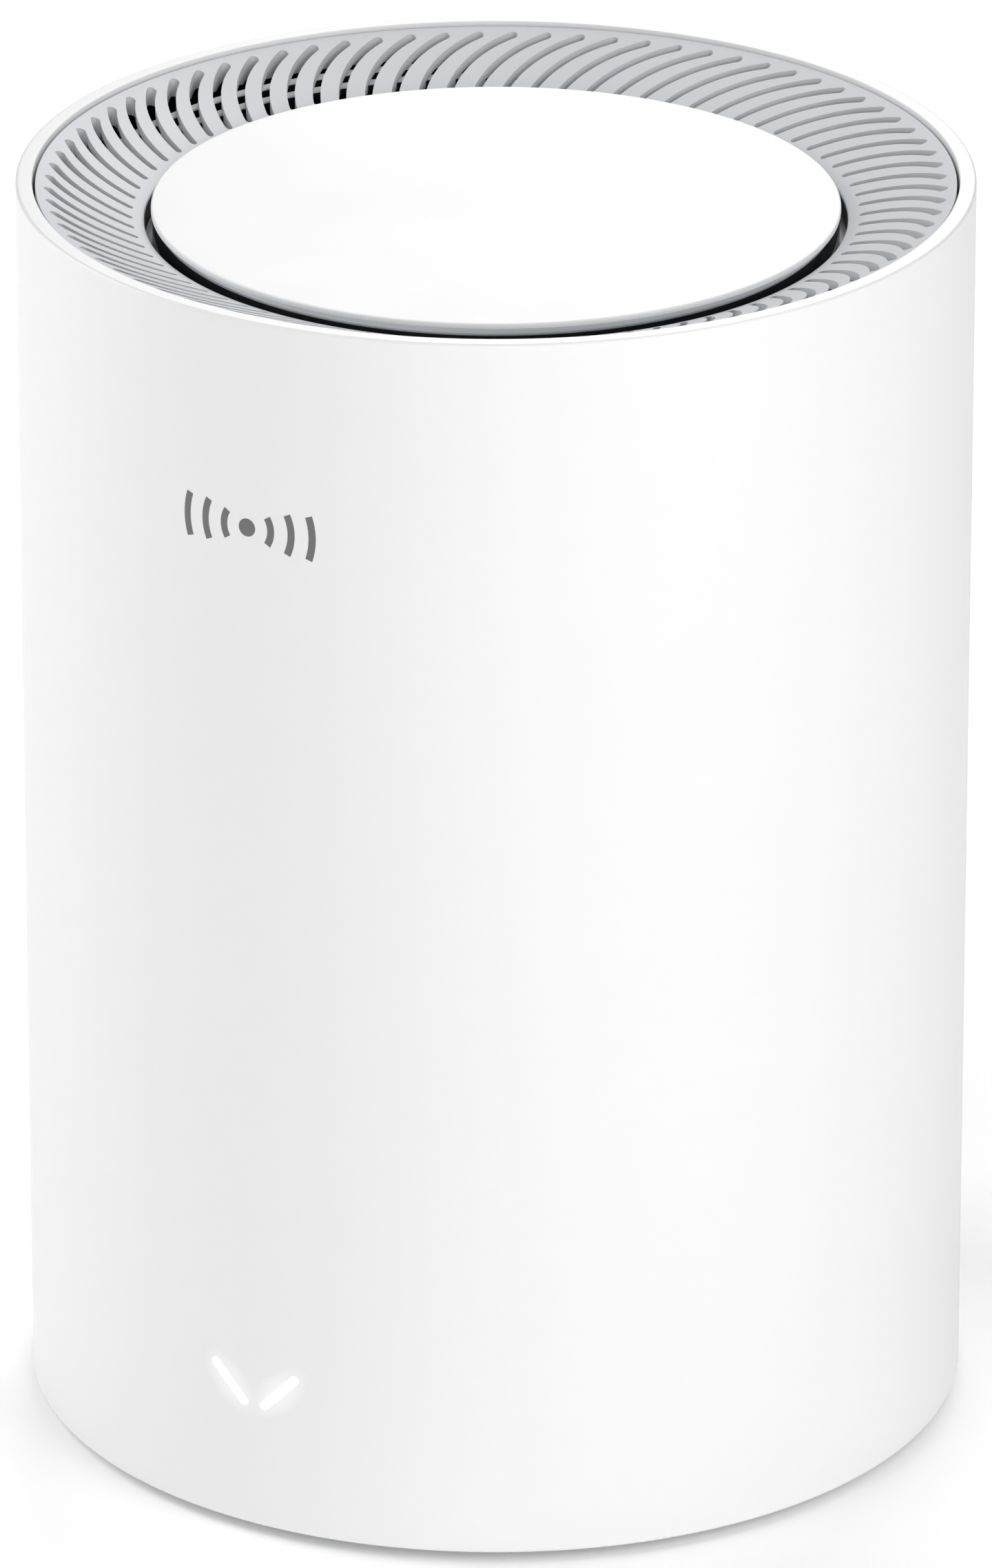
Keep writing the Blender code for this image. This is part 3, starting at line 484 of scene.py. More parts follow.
shellLook = {
    "radius": fullRadius - 0.02 * mm,
    "wall": 1.88 * mm,
    "rimOuterRound": 0.36 * mm,
    "rimInnerRound": 0.12 * mm,
    "footRound": 0.7 * mm,
    "window": {"halfWidth": bezelHigh.x + 0.3 * mm, "lowZ": bezelLow.z - 0.3 * mm,
               "highZ": bezelHigh.z + 0.3 * mm, "corner": 3 * mm, "edgeRound": 0.3 * mm,
               "frontY": 30 * mm, "backY": 60 * mm},
    "paintedShadeDrop": 3 * mm,  # painted shade: the inside is black from this far under the rim
    "steps": 360,
}


def capsule(name, side, width, startY, endY):
    # one bar of the status light: a slab with round ends, leaning out from the middle
    run, middle = barRun()
    length = run.length + 0.9 * width
    piece = block(name, (-length / 2, startY, -width / 2), (length / 2, endY, width / 2),
                  width * 0.499, "Y", 8)
    lean = atan2(run.z, side * run.x)
    editMode()
    bpy.ops.mesh.select_all(action="SELECT")
    bpy.ops.transform.rotate(value=lean, orient_axis="Y", center_override=(0, 0, 0))
    bpy.ops.transform.translate(value=(side * middle.x, 0, middle.z))
    objectMode()
    return piece


def makeShell():
    radius, wall = shellLook["radius"], shellLook["wall"]
    inner = radius - wall
    hole = shellLook["window"]
    rings = sorted({hole["lowZ"] - 1.5 * mm, barLow.z - 2 * mm, barHigh.z + 2 * mm, hole["highZ"] + 1.5 * mm,
                    rimZ * 0.45, rimZ * 0.72})
    shell = turned("outerShellBody", [
        (inner, shellFootZ, 0.15 * mm),
        (radius, shellFootZ, shellLook["footRound"]),
        *((radius, ring) for ring in rings),
        (radius, rimZ, shellLook["rimOuterRound"]),
        (inner, rimZ, shellLook["rimInnerRound"]),
        (inner, rimZ - shellLook["paintedShadeDrop"]),
    ], shellLook["steps"], segments=5)
    window = block("cutter", (-hole["halfWidth"], hole["frontY"], hole["lowZ"]),
                   (hole["halfWidth"], hole["backY"], hole["highZ"]), hole["corner"], "Y", 10)
    carve(shell, window)
    onlySelect(shell)
    editMode()

    def onWindowEdge(edge):
        if len(edge.link_faces) != 2:
            return False
        reach = max(vert.co.to_2d().length for vert in edge.verts)
        turn = edge.link_faces[0].normal.angle(edge.link_faces[1].normal, 0)
        return edge.verts[0].co.y > 40 * mm and turn > radians(50) and reach > radius - 0.05 * mm and all(
            hole["lowZ"] - 0.1 * mm < vert.co.z < hole["highZ"] + 0.1 * mm for vert in edge.verts)

    pick("EDGE", onWindowEdge)
    bpy.ops.mesh.bevel(offset=hole["edgeRound"], segments=3, affect="EDGES", clamp_overlap=False)
    objectMode()
    holeWidth = barLook["width"] + 2 * barLook["gap"]
    for side in (-1, 1):
        carve(shell, capsule("cutter", side, holeWidth, barLook["outsideY"], barLook["holeEndY"]))
    tidyMesh(shell)
    finishPiece(shell, finishes["shellWhiteAbs"], "root", ["outer_shell"])
    # painted shade: the inner wall from there down gets the matt black, standing in for the shade inside the
    # shell
    paintFaces(shell, finishes["paintedShadeBlack"], lambda face: face.center.to_2d().length < inner + 0.1 * mm
               and face.center.z < rimZ - shellLook["paintedShadeDrop"])
    return shell


def makeLight():
    bars = [capsule("bar", side, barLook["width"], barLook["outsideY"], barLook["backY"]) for side in (-1, 1)]
    light = joined(bars, "statusLightBars")
    boolean(light, rod("cutter", shellLook["radius"], 5 * mm, 40 * mm, sides=720), "INTERSECT")
    tidyMesh(light)
    return finishPiece(light, finishes["litDiffuser"], "root", ["light_pipe"])


def makeMark():
    # a generic broadcast symbol, a dot between three pairs of arcs, printed as a thin film on the shell
    markLook = {"centreZ": rimZ - 24.2 * mm, "stroke": 0.85 * mm, "dot": 1.05 * mm,
                "film": 0.014 * mm, "reach": 6 * mm,
                "arcs": ((3.0 * mm, 32), (5.5 * mm, 25), (8.0 * mm, 18.5))}  # (radius, half its angle)
    centre = Vector((0, -fullRadius - 2 * mm, markLook["centreZ"]))
    startClean()
    bpy.ops.mesh.primitive_circle_add(
        vertices=48, radius=markLook["dot"], fill_type="TRIFAN", location=centre, rotation=(pi / 2, 0, 0))
    bpy.ops.object.transform_apply(location=True, rotation=True, scale=True)
    parts = [named("dot")]
    for arcRadius, half in markLook["arcs"]:
        for facing in (0, pi):
            startClean()
            bpy.ops.mesh.primitive_plane_add(size=mm)
            editMode()
            bpy.ops.mesh.merge(type="CENTER")
            bpy.ops.transform.translate(value=centre + Vector((arcRadius - markLook["stroke"] / 2, 0, 0)))
            extrudeBy(x=markLook["stroke"])
            bpy.ops.mesh.select_all(action="SELECT")
            bpy.ops.transform.rotate(value=facing - radians(half), orient_axis="Y", center_override=centre)
            bpy.ops.mesh.spin(steps=24, angle=2 * radians(half), center=centre, axis=(0, 1, 0))
            bpy.ops.mesh.select_all(action="SELECT")
            bpy.ops.mesh.remove_doubles(threshold=doubleGap)
            objectMode()
            parts.append(named("arc"))
    mark = joined(parts, "printedMark")
    reach = markLook["reach"]
    drum = rod("drum", shellLook["radius"], centre.z - reach, centre.z + reach, sides=720)
    onlySelect(mark)
    wrap = mark.modifiers.new("wrap", "SHRINKWRAP")
    wrap.target, wrap.wrap_method, wrap.wrap_mode = drum, "PROJECT", "ABOVE_SURFACE"
    wrap.use_project_x, wrap.use_project_y, wrap.use_project_z = False, True, False
    wrap.use_positive_direction, wrap.use_negative_direction = True, False
    wrap.offset = markLook["film"]
    bpy.ops.object.modifier_apply(modifier=wrap.name)
    editMode()
    bpy.ops.mesh.select_all(action="SELECT")
    bpy.ops.mesh.normals_make_consistent(inside=False)
    if sum(face.normal.y for face in bmesh.from_edit_mesh(mark.data).faces) > 0:
        bpy.ops.mesh.flip_normals()
    objectMode()
    film = mark.modifiers.new("film", "SOLIDIFY")
    film.thickness, film.offset = 0.03 * mm, -1
    bpy.ops.object.modifier_apply(modifier=film.name)
    bpy.data.objects.remove(drum)
    tidyMesh(mark)
    return finishPiece(mark, finishes["markInk"], "root")


makeShell()
makeLight()
makeMark()
print("shell made")

# Sunken top

capLow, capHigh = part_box("top_cap")
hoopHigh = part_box("vent_hoops")[1]
ventLook = {
    "outer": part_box("vent_grille")[1].x - 0.02 * mm,
    "inner": capHigh.x + 0.76 * mm,
    "edgeDrop": 0.36 * mm,
    "slope": 0.362,
    "thickness": 1.7 * mm,
    "rimPlate": 2.2 * mm,
    "thinPlate": 1.1 * mm,  # over the hoops
    "thinFrom": 44.1 * mm,
    "thinTo": 49.5 * mm,
    "floorZ": capLow.z - 0.3 * mm,
    "floorPlate": 1.8 * mm,
    "lipWall": 0.9 * mm,
    "count": 80,
    "slotInner": 40.88 * mm,
    "arcCentre": (35.64 * mm, -13.91 * mm),
    "arcSweep": radians(50.3),
    "widthInner": 0.86 * mm,
    "widthOuter": 1.12 * mm,
    "phase": radians(10.95 - 90),
}


def coneHeight(radius):
    return rimZ - ventLook["edgeDrop"] - ventLook["slope"] * (52.1 * mm - radius)


def slotCutter():
    # a flat strip of growing width swept along an arc, its ends rounded, then raised into an upright cutter
    look = ventLook
    steps = 14
    centre = Vector((*look["arcCentre"], 0))
    place = Vector((look["slotInner"], 0, 0))
    across = (place - centre).normalized()
    startClean()
    bpy.ops.mesh.primitive_plane_add(size=mm)
    editMode()
    bpy.ops.mesh.merge(type="CENTER")
    bpy.ops.transform.translate(value=place - across * look["widthInner"] / 2)
    extrudeBy(*(across * look["widthInner"]))
    bpy.ops.mesh.select_all(action="SELECT")
    growth = (look["widthOuter"] / look["widthInner"]) ** (1 / steps)
    turn = look["arcSweep"] / steps
    inner = place.copy()
    for _ in range(steps):
        bpy.ops.mesh.extrude_region_move(TRANSFORM_OT_translate={"value": (0, 0, 0)})
        bpy.ops.transform.rotate(value=turn, orient_axis="Z", center_override=centre)
        arm = place - centre
        place = centre + Vector((
            arm.x * cos(turn) + arm.y * sin(turn), arm.y * cos(turn) - arm.x * sin(turn), 0))
        bpy.ops.transform.resize(value=(growth, growth, 1), center_override=place)
    roundEnd(inner, look["widthInner"])
    roundEnd(place, look["widthOuter"])
    bpy.ops.mesh.select_all(action="SELECT")
    lowZ = coneHeight(look["inner"]) - look["thickness"] - 1 * mm  # below the whole plate
    bpy.ops.transform.translate(value=(0, 0, lowZ))
    extrudeBy(z=rimZ + 1 * mm - lowZ)
    bpy.ops.mesh.select_all(action="SELECT")
    bpy.ops.mesh.normals_make_consistent(inside=False)
    objectMode()
    return named("cutter")


def roundEnd(place, width):
    # rounds the two corners at one end of a flat bar
    pick("VERT", lambda v: abs((v.co - place).length - width / 2) < 0.02 * mm)
    bpy.ops.mesh.bevel(offset=width * 0.49, segments=6, affect="VERTICES")


def makeVent():
    look = ventLook
    outerZ, innerZ = coneHeight(look["outer"]), coneHeight(look["inner"])
    thinIn, thinOut = look["thinFrom"], look["thinTo"]
    lip = look["inner"] + look["lipWall"]
    floorZ, floorUnder = look["floorZ"], look["floorZ"] - look["floorPlate"]
    vent = turned("ventGrilleRing", [
        (0, floorZ), (look["inner"], floorZ, 0.2 * mm), (look["inner"], innerZ, 0.18 * mm),
        (look["outer"], outerZ, 0.12 * mm), (look["outer"], outerZ - look["rimPlate"]),
        (thinOut, coneHeight(thinOut) - look["rimPlate"]), (thinOut, coneHeight(thinOut) - look["thinPlate"]),
        (thinIn, coneHeight(thinIn) - look["thinPlate"]), (thinIn, coneHeight(thinIn) - look["thickness"]),
        (lip, coneHeight(lip) - look["thickness"]), (lip, floorUnder), (0, floorUnder),
    ], 240, closed=False, segments=3)
    first = slotCutter()
    cutters = [first]
    for i in range(1, look["count"]):
        cutters.append(copyOf(first, "cutter", 2 * pi * i / look["count"]))
    slots = turnMesh(joined(cutters, "slotCutters"), look["phase"])
    boolean(vent, slots)
    tidyMesh(vent)
    finishPiece(vent, finishes["coolGreyAbs"], "root", ["vent_grille"])
    # painted shade: the groove's floor and wall under the cap's edge get the dark groove colour
    paintFaces(vent, finishes["paintedGrooveShade"], lambda face: face.center.z < innerZ - 0.2 * mm
               and face.center.to_2d().length < look["inner"] + 0.01 * mm)
    # painted shade: the plate's undersides get the matt black
    paintFaces(vent, finishes["paintedShadeBlack"], lambda face: face.material_index == 0 and face.normal.z < -0.5)
    return vent


def makeHoops():
    outerHoop = hoopHigh.x - 0.35 * mm
    hoopLook = {"radii": (outerHoop - 2 * mm, outerHoop), "width": 0.85 * mm, "height": 0.9 * mm,
                "gap": 0.3 * mm, "spokes": 6, "spokeHalf": 0.6 * mm, "spokeHeight": 0.6 * mm,
                "spokeTurn": 0.03}
    drop = ventLook["thinPlate"] + hoopLook["gap"]
    half = hoopLook["width"] / 2
    parts = []
    for radius in hoopLook["radii"]:
        inTop, outTop = (coneHeight(place) - drop for place in (radius - half, radius + half))
        parts.append(turned("hoop", [
            (radius - half, inTop - hoopLook["height"]), (radius + half, inTop - hoopLook["height"]),
            (radius + half, outTop, 0.15 * mm), (radius - half, inTop, 0.15 * mm)], 180, segments=2))
    first, last = hoopLook["radii"][0], hoopLook["radii"][-1]
    hoops = parts[0]
    for other in parts[1:]:
        boolean(hoops, other, "UNION")
    for i in range(hoopLook["spokes"]):
        low = coneHeight(first) - drop - hoopLook["height"] + 0.05 * mm
        spoke = block("spoke", (first, -hoopLook["spokeHalf"], low),
                      (last, hoopLook["spokeHalf"], low + hoopLook["spokeHeight"]))
        onlySelect(spoke)
        editMode()
        pick("VERT", lambda v: v.co.x > last - 0.1 * mm)
        bpy.ops.transform.translate(value=(0, 0, ventLook["slope"] * (last - first)))
        objectMode()
        boolean(hoops, turnMesh(spoke, 2 * pi * i / hoopLook["spokes"] + hoopLook["spokeTurn"]), "UNION")
    hoops.name = "ventStiffeningHoops"
    tidyMesh(hoops)
    finishPiece(hoops, finishes["hoopGreyAbs"], "root", ["vent_hoops"])
    # painted shade: the hoops' sides and undersides get the matt black, and only their tops stay pale
    paintFaces(hoops, finishes["paintedShadeBlack"], lambda face: face.normal.z < 0.3)
    return hoops


def makeCap():
    capLook = {"radius": capHigh.x, "topZ": capHigh.z, "edge": 0.22 * mm, "side": 0.62 * mm,
               "bandIn": 0.12 * mm, "wall": 1.2 * mm, "plate": 0.6 * mm}
    foot = capLow.z
    under = capLook["topZ"] - capLook["side"]
    band = capLook["radius"] - capLook["bandIn"]
    cap = turned("topCapDisc", [
        (0, capLook["topZ"]), (capLook["radius"], capLook["topZ"], capLook["edge"]),
        (capLook["radius"], under, 0.06 * mm),
        (band, under), (band, foot), (band - capLook["wall"], foot),
        (band - capLook["wall"], under - capLook["plate"]), (0, under - capLook["plate"]),
    ], 360, closed=False, segments=4)
    tidyMesh(cap)
    finishPiece(cap, finishes["capWhiteAbs"], "root", ["top_cap"])
    paintFaces(cap, finishes["polishedBand"], lambda face: face.center.z < under - 0.05 * mm
               and face.center.to_2d().length > band - 0.1 * mm)
    return cap


makeVent()
makeHoops()
makeCap()
print("top made")

# Base

coverLow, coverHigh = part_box("base_cover")
baseLook = {
    "edgeRound": 0.6 * mm, "plate": 2.2 * mm, "lipWall": 1.5 * mm, "cutTop": 6 * mm,
    "vent": {"inner": 44.5 * mm, "outer": 48.5 * mm, "width": 1.6 * mm, "turns": (-15, 15)},
    "pocket": {"gap": 0.3 * mm, "depth": 0.8 * mm},
    "screwHole": {"clear": 1.6 * mm, "counterbore": 3.1 * mm, "depth": 1.2 * mm},
    "panel": {"radius": 24 * mm, "depth": 0.3 * mm},
    "footGroove": {"radius": 3.4 * mm, "depth": 0.25 * mm},
    "screw": {"head": 1.4 * mm, "arm": 1.45 * mm, "slot": 0.36 * mm, "depth": 0.8 * mm},
}


def makeBaseCover():
    look = baseLook
    outer, low = coverHigh.x, coverLow.z
    panel = look["panel"]
    cover = turned("baseCoverPan", [
        (0, low + panel["depth"]), (panel["radius"], low + panel["depth"], 0.3 * mm),
        (panel["radius"] + panel["depth"], low, 0.2 * mm), (outer, low, look["edgeRound"]),
        (outer, coverHigh.z, 0.2 * mm), (outer - look["lipWall"], coverHigh.z, 0.2 * mm),
        (outer - look["lipWall"], low + look["plate"], 0.4 * mm), (0, low + look["plate"]),
    ], 240, closed=False)
    for i in range(1, 5):
        foot, screw = middleOf(f"rubber_foot_{i}"), middleOf(f"base_screw_{i}")
        footRadius = foot.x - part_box(f"rubber_foot_{i}")[0].x
        pocketRadius, pocketTop = footRadius + look["pocket"]["gap"], low + look["pocket"]["depth"]
        pocket = rod("cutter", pocketRadius, 0, pocketTop, "Z", foot.xy, 96)
        hole = rod("cutter", look["screwHole"]["clear"], 0, look["cutTop"], "Z", screw.xy)
        bore = rod("cutter", look["screwHole"]["counterbore"], 0, low + look["screwHole"]["depth"], "Z",
                   screw.xy, 72)
        carve(cover, pocket, hole, bore)
    vent = look["vent"]
    half = vent["width"] / 2
    for quarter in range(4):
        for turn in vent["turns"]:
            slot = block("slot", (vent["inner"] - half, -half, 0),
                         (vent["outer"] + half, half, look["cutTop"]), vent["width"] * 0.499, "Z", 8)
            carve(cover, turnMesh(slot, quarter * pi / 2 + radians(turn)))
    tidyMesh(cover, edge=0.15 * mm)
    return finishPiece(cover, finishes["lightGreyAbs"], "root", ["base_cover"])


def makeFeetAndScrews():
    groove, recess = baseLook["footGroove"], baseLook["screw"]
    for i in range(1, 5):
        low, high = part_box(f"rubber_foot_{i}")
        radius, top = (high.x - low.x) / 2, high.z
        foot = turned(f"rubberFoot{i}", [
            (0, groove["depth"]), (groove["radius"], groove["depth"], 0.15 * mm),
            (groove["radius"] + groove["depth"], 0, 0.12 * mm), (radius, 0, 0.5 * mm),
            (radius, top, 0.1 * mm), (0, top)], 96, closed=False, centre=middleOf(f"rubber_foot_{i}").xy)
        tidyMesh(foot)
        finishPiece(foot, finishes["softRubber"], "root", [f"rubber_foot_{i}"])
        low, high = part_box(f"base_screw_{i}")
        centre, radius = middleOf(f"base_screw_{i}"), (high.x - low.x) / 2
        headTop, shaft = low.z + recess["head"], radius - recess["head"]
        screw = turned(f"baseScrew{i}", [
            (0, low.z), (radius, low.z, 0.55 * mm), (radius, headTop, 0.1 * mm), (shaft, headTop),
            (shaft, high.z - 0.6 * mm), (shaft - 0.5 * mm, high.z), (0, high.z)],
            64, closed=False, centre=centre.xy)
        for across, along in ((recess["arm"], recess["slot"]), (recess["slot"], recess["arm"])):
            carve(screw, block(
                "cutter", (centre.x - across, centre.y - along, 0),
                (centre.x + across, centre.y + along, low.z + recess["depth"]), 0.15 * mm, "Z", 2))
        tidyMesh(screw)
        finishPiece(screw, finishes["platedSteel"], "root", [f"base_screw_{i}"])


makeBaseCover()
makeFeetAndScrews()
print("base made")

# Ports and buttons

powerPlace = middleOf("power_inlet_pin")
portLook = {
    "faceY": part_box("wan_jack_shield")[1].y + 0.1 * mm,
    "tunnelWall": 1.2 * mm, "corner": 2.7 * mm, "gap": 0.3 * mm, "edge": 0.14 * mm, "panel": 1.8 * mm,
    "cutFrom": 40 * mm, "cutTo": 46 * mm, "outside": 60 * mm,  # cutters run past both faces of the panel
    "sheet": 0.3 * mm, "bend": 0.5 * mm,
    "plugHalf": 5.9 * mm, "plugLow": 4.5 * mm, "plugHigh": 3.8 * mm, "plugEnd": 30 * mm,
    "latchHalf": 3.1 * mm, "latchDrop": 1.2 * mm, "lampHalf": 1.3 * mm, "lampAt": 4.9 * mm,
    "pins": 8, "pitch": 1.02 * mm, "pinWidth": 0.42 * mm, "pinThick": 0.16 * mm,
    "barrel": 3.3 * mm, "bore": 2.8 * mm, "boreEnd": 32.5 * mm,
    "buttonEdge": 0.4 * mm, "flange": 1.0 * mm, "stem": 1.1 * mm,
}


def makeBezel():
    look = portLook
    low, high = bezelLow, bezelHigh
    start, end = look["cutFrom"], look["cutTo"]
    bezel = block("portBezel", low, (high.x, 57 * mm, high.z), look["corner"], "Y", 10)
    boolean(bezel, rod("cutter", fullRadius - look["gap"], 0, 40 * mm, sides=360), "INTERSECT")
    wall = look["tunnelWall"]
    carve(bezel, block("cutter", (low.x + wall, look["faceY"], low.z + wall),
                       (high.x - wall, look["outside"], high.z - wall), look["corner"] - wall, "Y", 8))
    gap = look["gap"]
    for name in ("wan", "lan"):
        jackLow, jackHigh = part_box(f"{name}_jack_shield")
        carve(bezel, block("cutter", (jackLow.x - gap, start, jackLow.z - gap),
                           (jackHigh.x + gap, end, jackHigh.z + gap), look["bend"], "Y", 4))
    carve(bezel, rod("cutter", look["barrel"] + gap, start, end, "Y", (powerPlace.x, powerPlace.z), 96))
    for name in ("pair_button", "reset_button"):
        place = middleOf(name)
        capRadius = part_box(name)[1].x - place.x - look["flange"]
        carve(bezel, rod("cutter", capRadius + gap, start, end, "Y", (place.x, place.z), 64))
    tidyMesh(bezel, edge=look["edge"])
    return finishPiece(bezel, finishes["lightGreyAbs"], "root", ["port_bezel"])


def makeJack(name):
    look = portLook
    low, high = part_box(f"{name}_jack_shield")
    sheet = look["sheet"]
    shield = block(f"{name}JackShield", low, high, look["bend"] + sheet, "Y", 4)
    carve(shield, block("cutter", (low.x + sheet, low.y + sheet, low.z + sheet),
                        (high.x - sheet, high.y + 5 * mm, high.z - sheet), look["bend"], "Y", 4))
    tidyMesh(shield, edge=0.05 * mm)
    finishPiece(shield, finishes["platedSteel"], "root", [f"{name}_jack_shield"])

    bodyLow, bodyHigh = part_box(f"{name}_jack_insert")
    middle = (bodyLow + bodyHigh) / 2
    x, z = middle.x, middle.z
    insert = block(f"{name}JackInsert", bodyLow, bodyHigh, 0.3 * mm, "Y", 3)
    mouthLow = z - look["plugLow"]
    mouth = block("cutter", (x - look["plugHalf"], look["plugEnd"], mouthLow),
                  (x + look["plugHalf"], 45 * mm, z + look["plugHigh"]), 0.15 * mm, "Y", 2)
    latch = block("cutter", (x - look["latchHalf"], look["plugEnd"], mouthLow - look["latchDrop"]),
                  (x + look["latchHalf"], 45 * mm, mouthLow + 1 * mm), 0.2 * mm, "Y", 2)
    carve(insert, mouth, latch)
    for side in (-1, 1):
        lampX, lampLow = x + side * look["lampAt"], bodyLow.z + 0.35 * mm
        lampHigh = mouthLow - 0.35 * mm
        carve(insert, block("cutter", (lampX - look["lampHalf"], bodyHigh.y - 1 * mm, lampLow),
                            (lampX + look["lampHalf"], 45 * mm, lampHigh), 0.1 * mm, "Y", 2))
        lamp = block(f"{name}JackLamp{'Left' if side < 0 else 'Right'}",
                     (lampX - look["lampHalf"] + 0.05 * mm, bodyHigh.y - 0.98 * mm, lampLow + 0.05 * mm),
                     (lampX + look["lampHalf"] - 0.05 * mm, bodyHigh.y - 0.08 * mm, lampHigh - 0.05 * mm))
        tidyMesh(lamp, edge=0.06 * mm)
        finishPiece(lamp, finishes["clearLens"], "root")
    tidyMesh(insert, edge=0.08 * mm)
    finishPiece(insert, finishes["blackNylon"], "root", [f"{name}_jack_insert"])

    pinLow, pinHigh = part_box(f"{name}_jack_contacts")
    pins = []
    for i in range(look["pins"]):
        pinX = x + (i - (look["pins"] - 1) / 2) * look["pitch"]
        pins.append(springPin(pinX, pinLow, pinHigh))
    contacts = joined(pins, f"{name}JackContacts")
    tidyMesh(contacts)
    finishPiece(contacts, finishes["goldPlating"], "root", [f"{name}_jack_contacts"])


def springPin(x, low, high):
    # a flat sprung wire: it runs in from the front under the socket's roof, then slants down to a bent tip
    width, thick = portLook["pinWidth"], portLook["pinThick"]
    startClean()
    start = (x, high.y, high.z - thick / 2)
    bpy.ops.mesh.primitive_plane_add(size=1, location=start, rotation=(pi / 2, 0, 0))
    bpy.ops.object.transform_apply(location=True, rotation=True, scale=True)
    editMode()
    bpy.ops.mesh.select_all(action="SELECT")
    bpy.ops.transform.resize(value=(width, 1, thick), center_override=start)
    run = high.y - low.y
    for share, rise in ((0.2, 0), (0.05, -0.05), (0.5, -0.27), (0.1, 0.02), (0.15, 0.16)):
        extrudeBy(y=-share * run, z=rise * mm)
    bpy.ops.mesh.select_all(action="SELECT")
    bpy.ops.mesh.normals_make_consistent(inside=False)
    objectMode()
    return named("pin")


def makePowerInlet():
    look = portLook
    low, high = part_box("power_inlet_body")
    shoulder = look["faceY"] - look["panel"]
    body = block("powerInletBody", low, (high.x, shoulder, high.z), 0.4 * mm, "Y", 3)
    at = (powerPlace.x, powerPlace.z)
    boolean(body, rod("barrel", look["barrel"], shoulder - 1 * mm, high.y, "Y", at, 96), "UNION")
    body.name = body.data.name = "powerInletBody"
    carve(body, rod("cutter", look["bore"], look["boreEnd"], look["cutTo"], "Y", at, 96))
    tidyMesh(body, edge=0.1 * mm)
    finishPiece(body, finishes["blackNylon"], "root", ["power_inlet_body"])
    pinLow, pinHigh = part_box("power_inlet_pin")
    pinRadius = (pinHigh.x - pinLow.x) / 2
    pin = turned("powerInletPin", [
        (0, pinLow.y), (pinRadius, pinLow.y), (pinRadius, pinHigh.y, 0.6 * mm), (0, pinHigh.y)],
        48, closed=False)
    layAlongY(pin, *at)
    tidyMesh(pin)
    finishPiece(pin, finishes["platedSteel"], "root", ["power_inlet_pin"])


def makeButton(node, name, finish):
    # a round cap with a dished face, the flange that holds it behind the panel, and its stem
    look = portLook
    low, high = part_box(node)
    place = (low + high) / 2
    flange = (high.x - low.x) / 2
    capRadius = flange - look["flange"]
    edge = min(look["buttonEdge"], capRadius * 0.3)
    flangeY = look["faceY"] - look["panel"]
    button = turned(name, [
        (0, low.y), (look["stem"], low.y, 0.1 * mm), (look["stem"], flangeY - 1 * mm),
        (flange, flangeY - 1 * mm, 0.15 * mm), (flange, flangeY, 0.15 * mm), (capRadius, flangeY),
        (capRadius, high.y, edge), (capRadius * 0.75, high.y, 0.2 * mm),
        (capRadius * 0.4, high.y - 0.18 * mm, 0.4 * mm), (0, high.y - 0.22 * mm)], 72, closed=False)
    layAlongY(button, place.x, place.z)
    tidyMesh(button)
    return finishPiece(button, finish, node, [node])


makeBezel()
for jackName in ("wan", "lan"):
    makeJack(jackName)
makePowerInlet()
makeButton("pair_button", "pairButtonCap", finishes["capWhiteAbs"])
makeButton("reset_button", "resetButtonCap", finishes["blackNylon"])
print("ports made")

# CAD nodes that stay

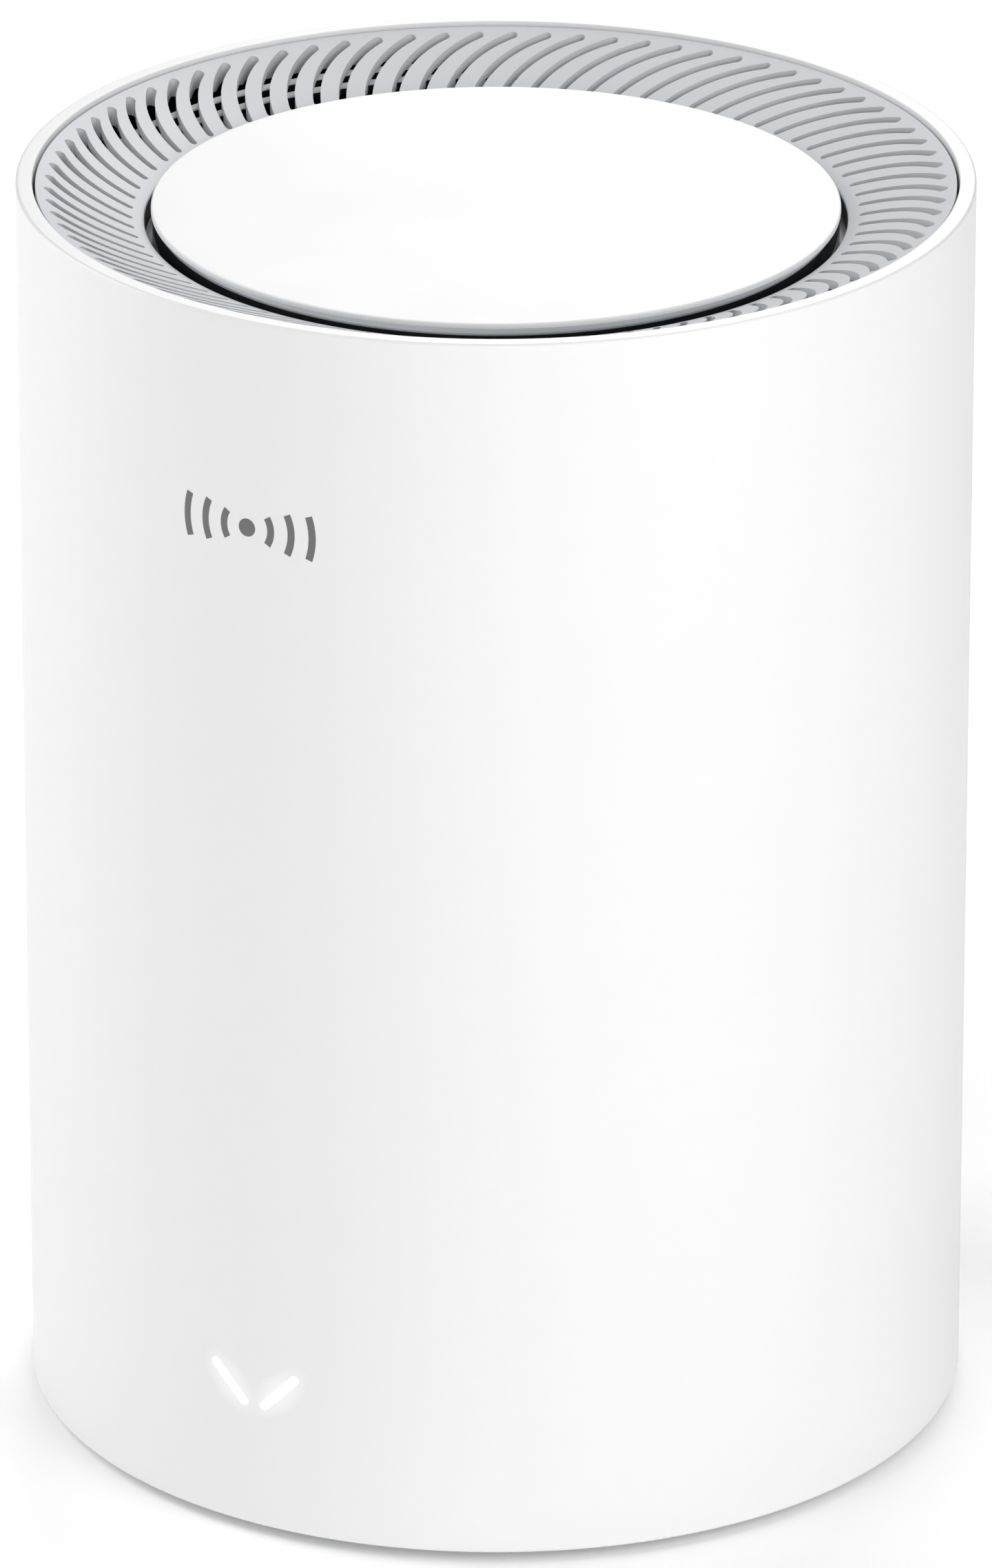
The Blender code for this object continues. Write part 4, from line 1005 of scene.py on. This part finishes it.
keepFinish = {
    "platedSteel": ("board_screw", "processor_shield", "radio_shield"),
    "darkGreyAbs": ("inner_frame",),
    "greenLaminate": ("main_board", "light_board"),
    "antennaLaminate": ("antenna_front", "antenna_rear"),
    "blackNylon": ("processor_chip", "radio_chip", "pair_button_plunger", "pair_button_switch",
                   "reset_button_plunger", "reset_button_switch"),
    "leadSleeve": ("antenna_lead", "status_light_lead"),
    "thermalPad": ("processor_pad", "radio_pad", "rear_pad"),
    "blastedAluminium": ("front_heatsink", "rear_heatsink"),
    "goldPlating": ("antenna_plug",),
    "clearLens": ("status_lamp",),
}
for finishName, starts in keepFinish.items():
    for nodeName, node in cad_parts.items():
        if nodeName.startswith(starts):
            node.data.materials.clear()
            node.data.materials.append(finishes[finishName])

# Stage, light and camera

startClean()
bpy.ops.mesh.primitive_plane_add(size=12, location=(0, 0, -0.02 * mm))  # just under the feet
floor = named("studioFloor")
floorFinish, floorTree, floorShader = newMaterial("paleMattFloor")
floorShader.inputs["Base Color"].default_value = linear(studio["floorHex"])
floorShader.inputs["Roughness"].default_value = 0.9
floorShader.inputs["Specular IOR Level"].default_value = 0.0
floorShader.inputs["Emission Color"].default_value = linear(studio["floorHex"])
floorShader.inputs["Emission Strength"].default_value = studio["floorGlow"]
floor.data.materials.append(floorFinish)


def awayFrom(turnDegrees, liftDegrees):
    # the direction from the object to something round from the front and up
    turn, lift = radians(turnDegrees), radians(liftDegrees)
    return Vector((sin(turn) * cos(lift), -cos(turn) * cos(lift), sin(lift)))


def lookBack(direction):
    # the turn that makes a lamp or camera out there look back at the object
    return (-direction).to_track_quat("-Z", "Y").to_euler()


def placeSoftbox(turnDegrees, liftName, watts):
    out = awayFrom(view["azimuth"] + turnDegrees, studio["lifts"][liftName])
    bpy.ops.object.light_add(type="AREA", location=Vector((0, 0, rimZ / 2)) + out * studio["reach"])
    softbox = bpy.context.object
    softbox.name = f"softbox_{turnDegrees}_{liftName}"
    softbox.rotation_euler = lookBack(out)
    softbox.data.shape = "SQUARE"
    softbox.data.size = studio["size"]
    softbox.data.energy = watts


def placeCamera():
    out = awayFrom(view["azimuth"], view["elevation"])
    bpy.ops.object.camera_add(location=Vector((0, 0, view["aimZ"])) + out * view["distance"])
    camera = bpy.context.object
    camera.rotation_euler = lookBack(out)
    camera.data.lens = view["lens"]
    camera.data.sensor_width = 36
    camera.data.clip_start, camera.data.clip_end = 0.05, 30
    bpy.context.scene.camera = camera


for turnDegrees, liftNames, watts in studio["softboxes"]:
    for liftName in liftNames:
        placeSoftbox(turnDegrees, liftName, watts)
placeCamera()
bpy.context.scene.view_settings.view_transform = "Standard"
print("stage made")
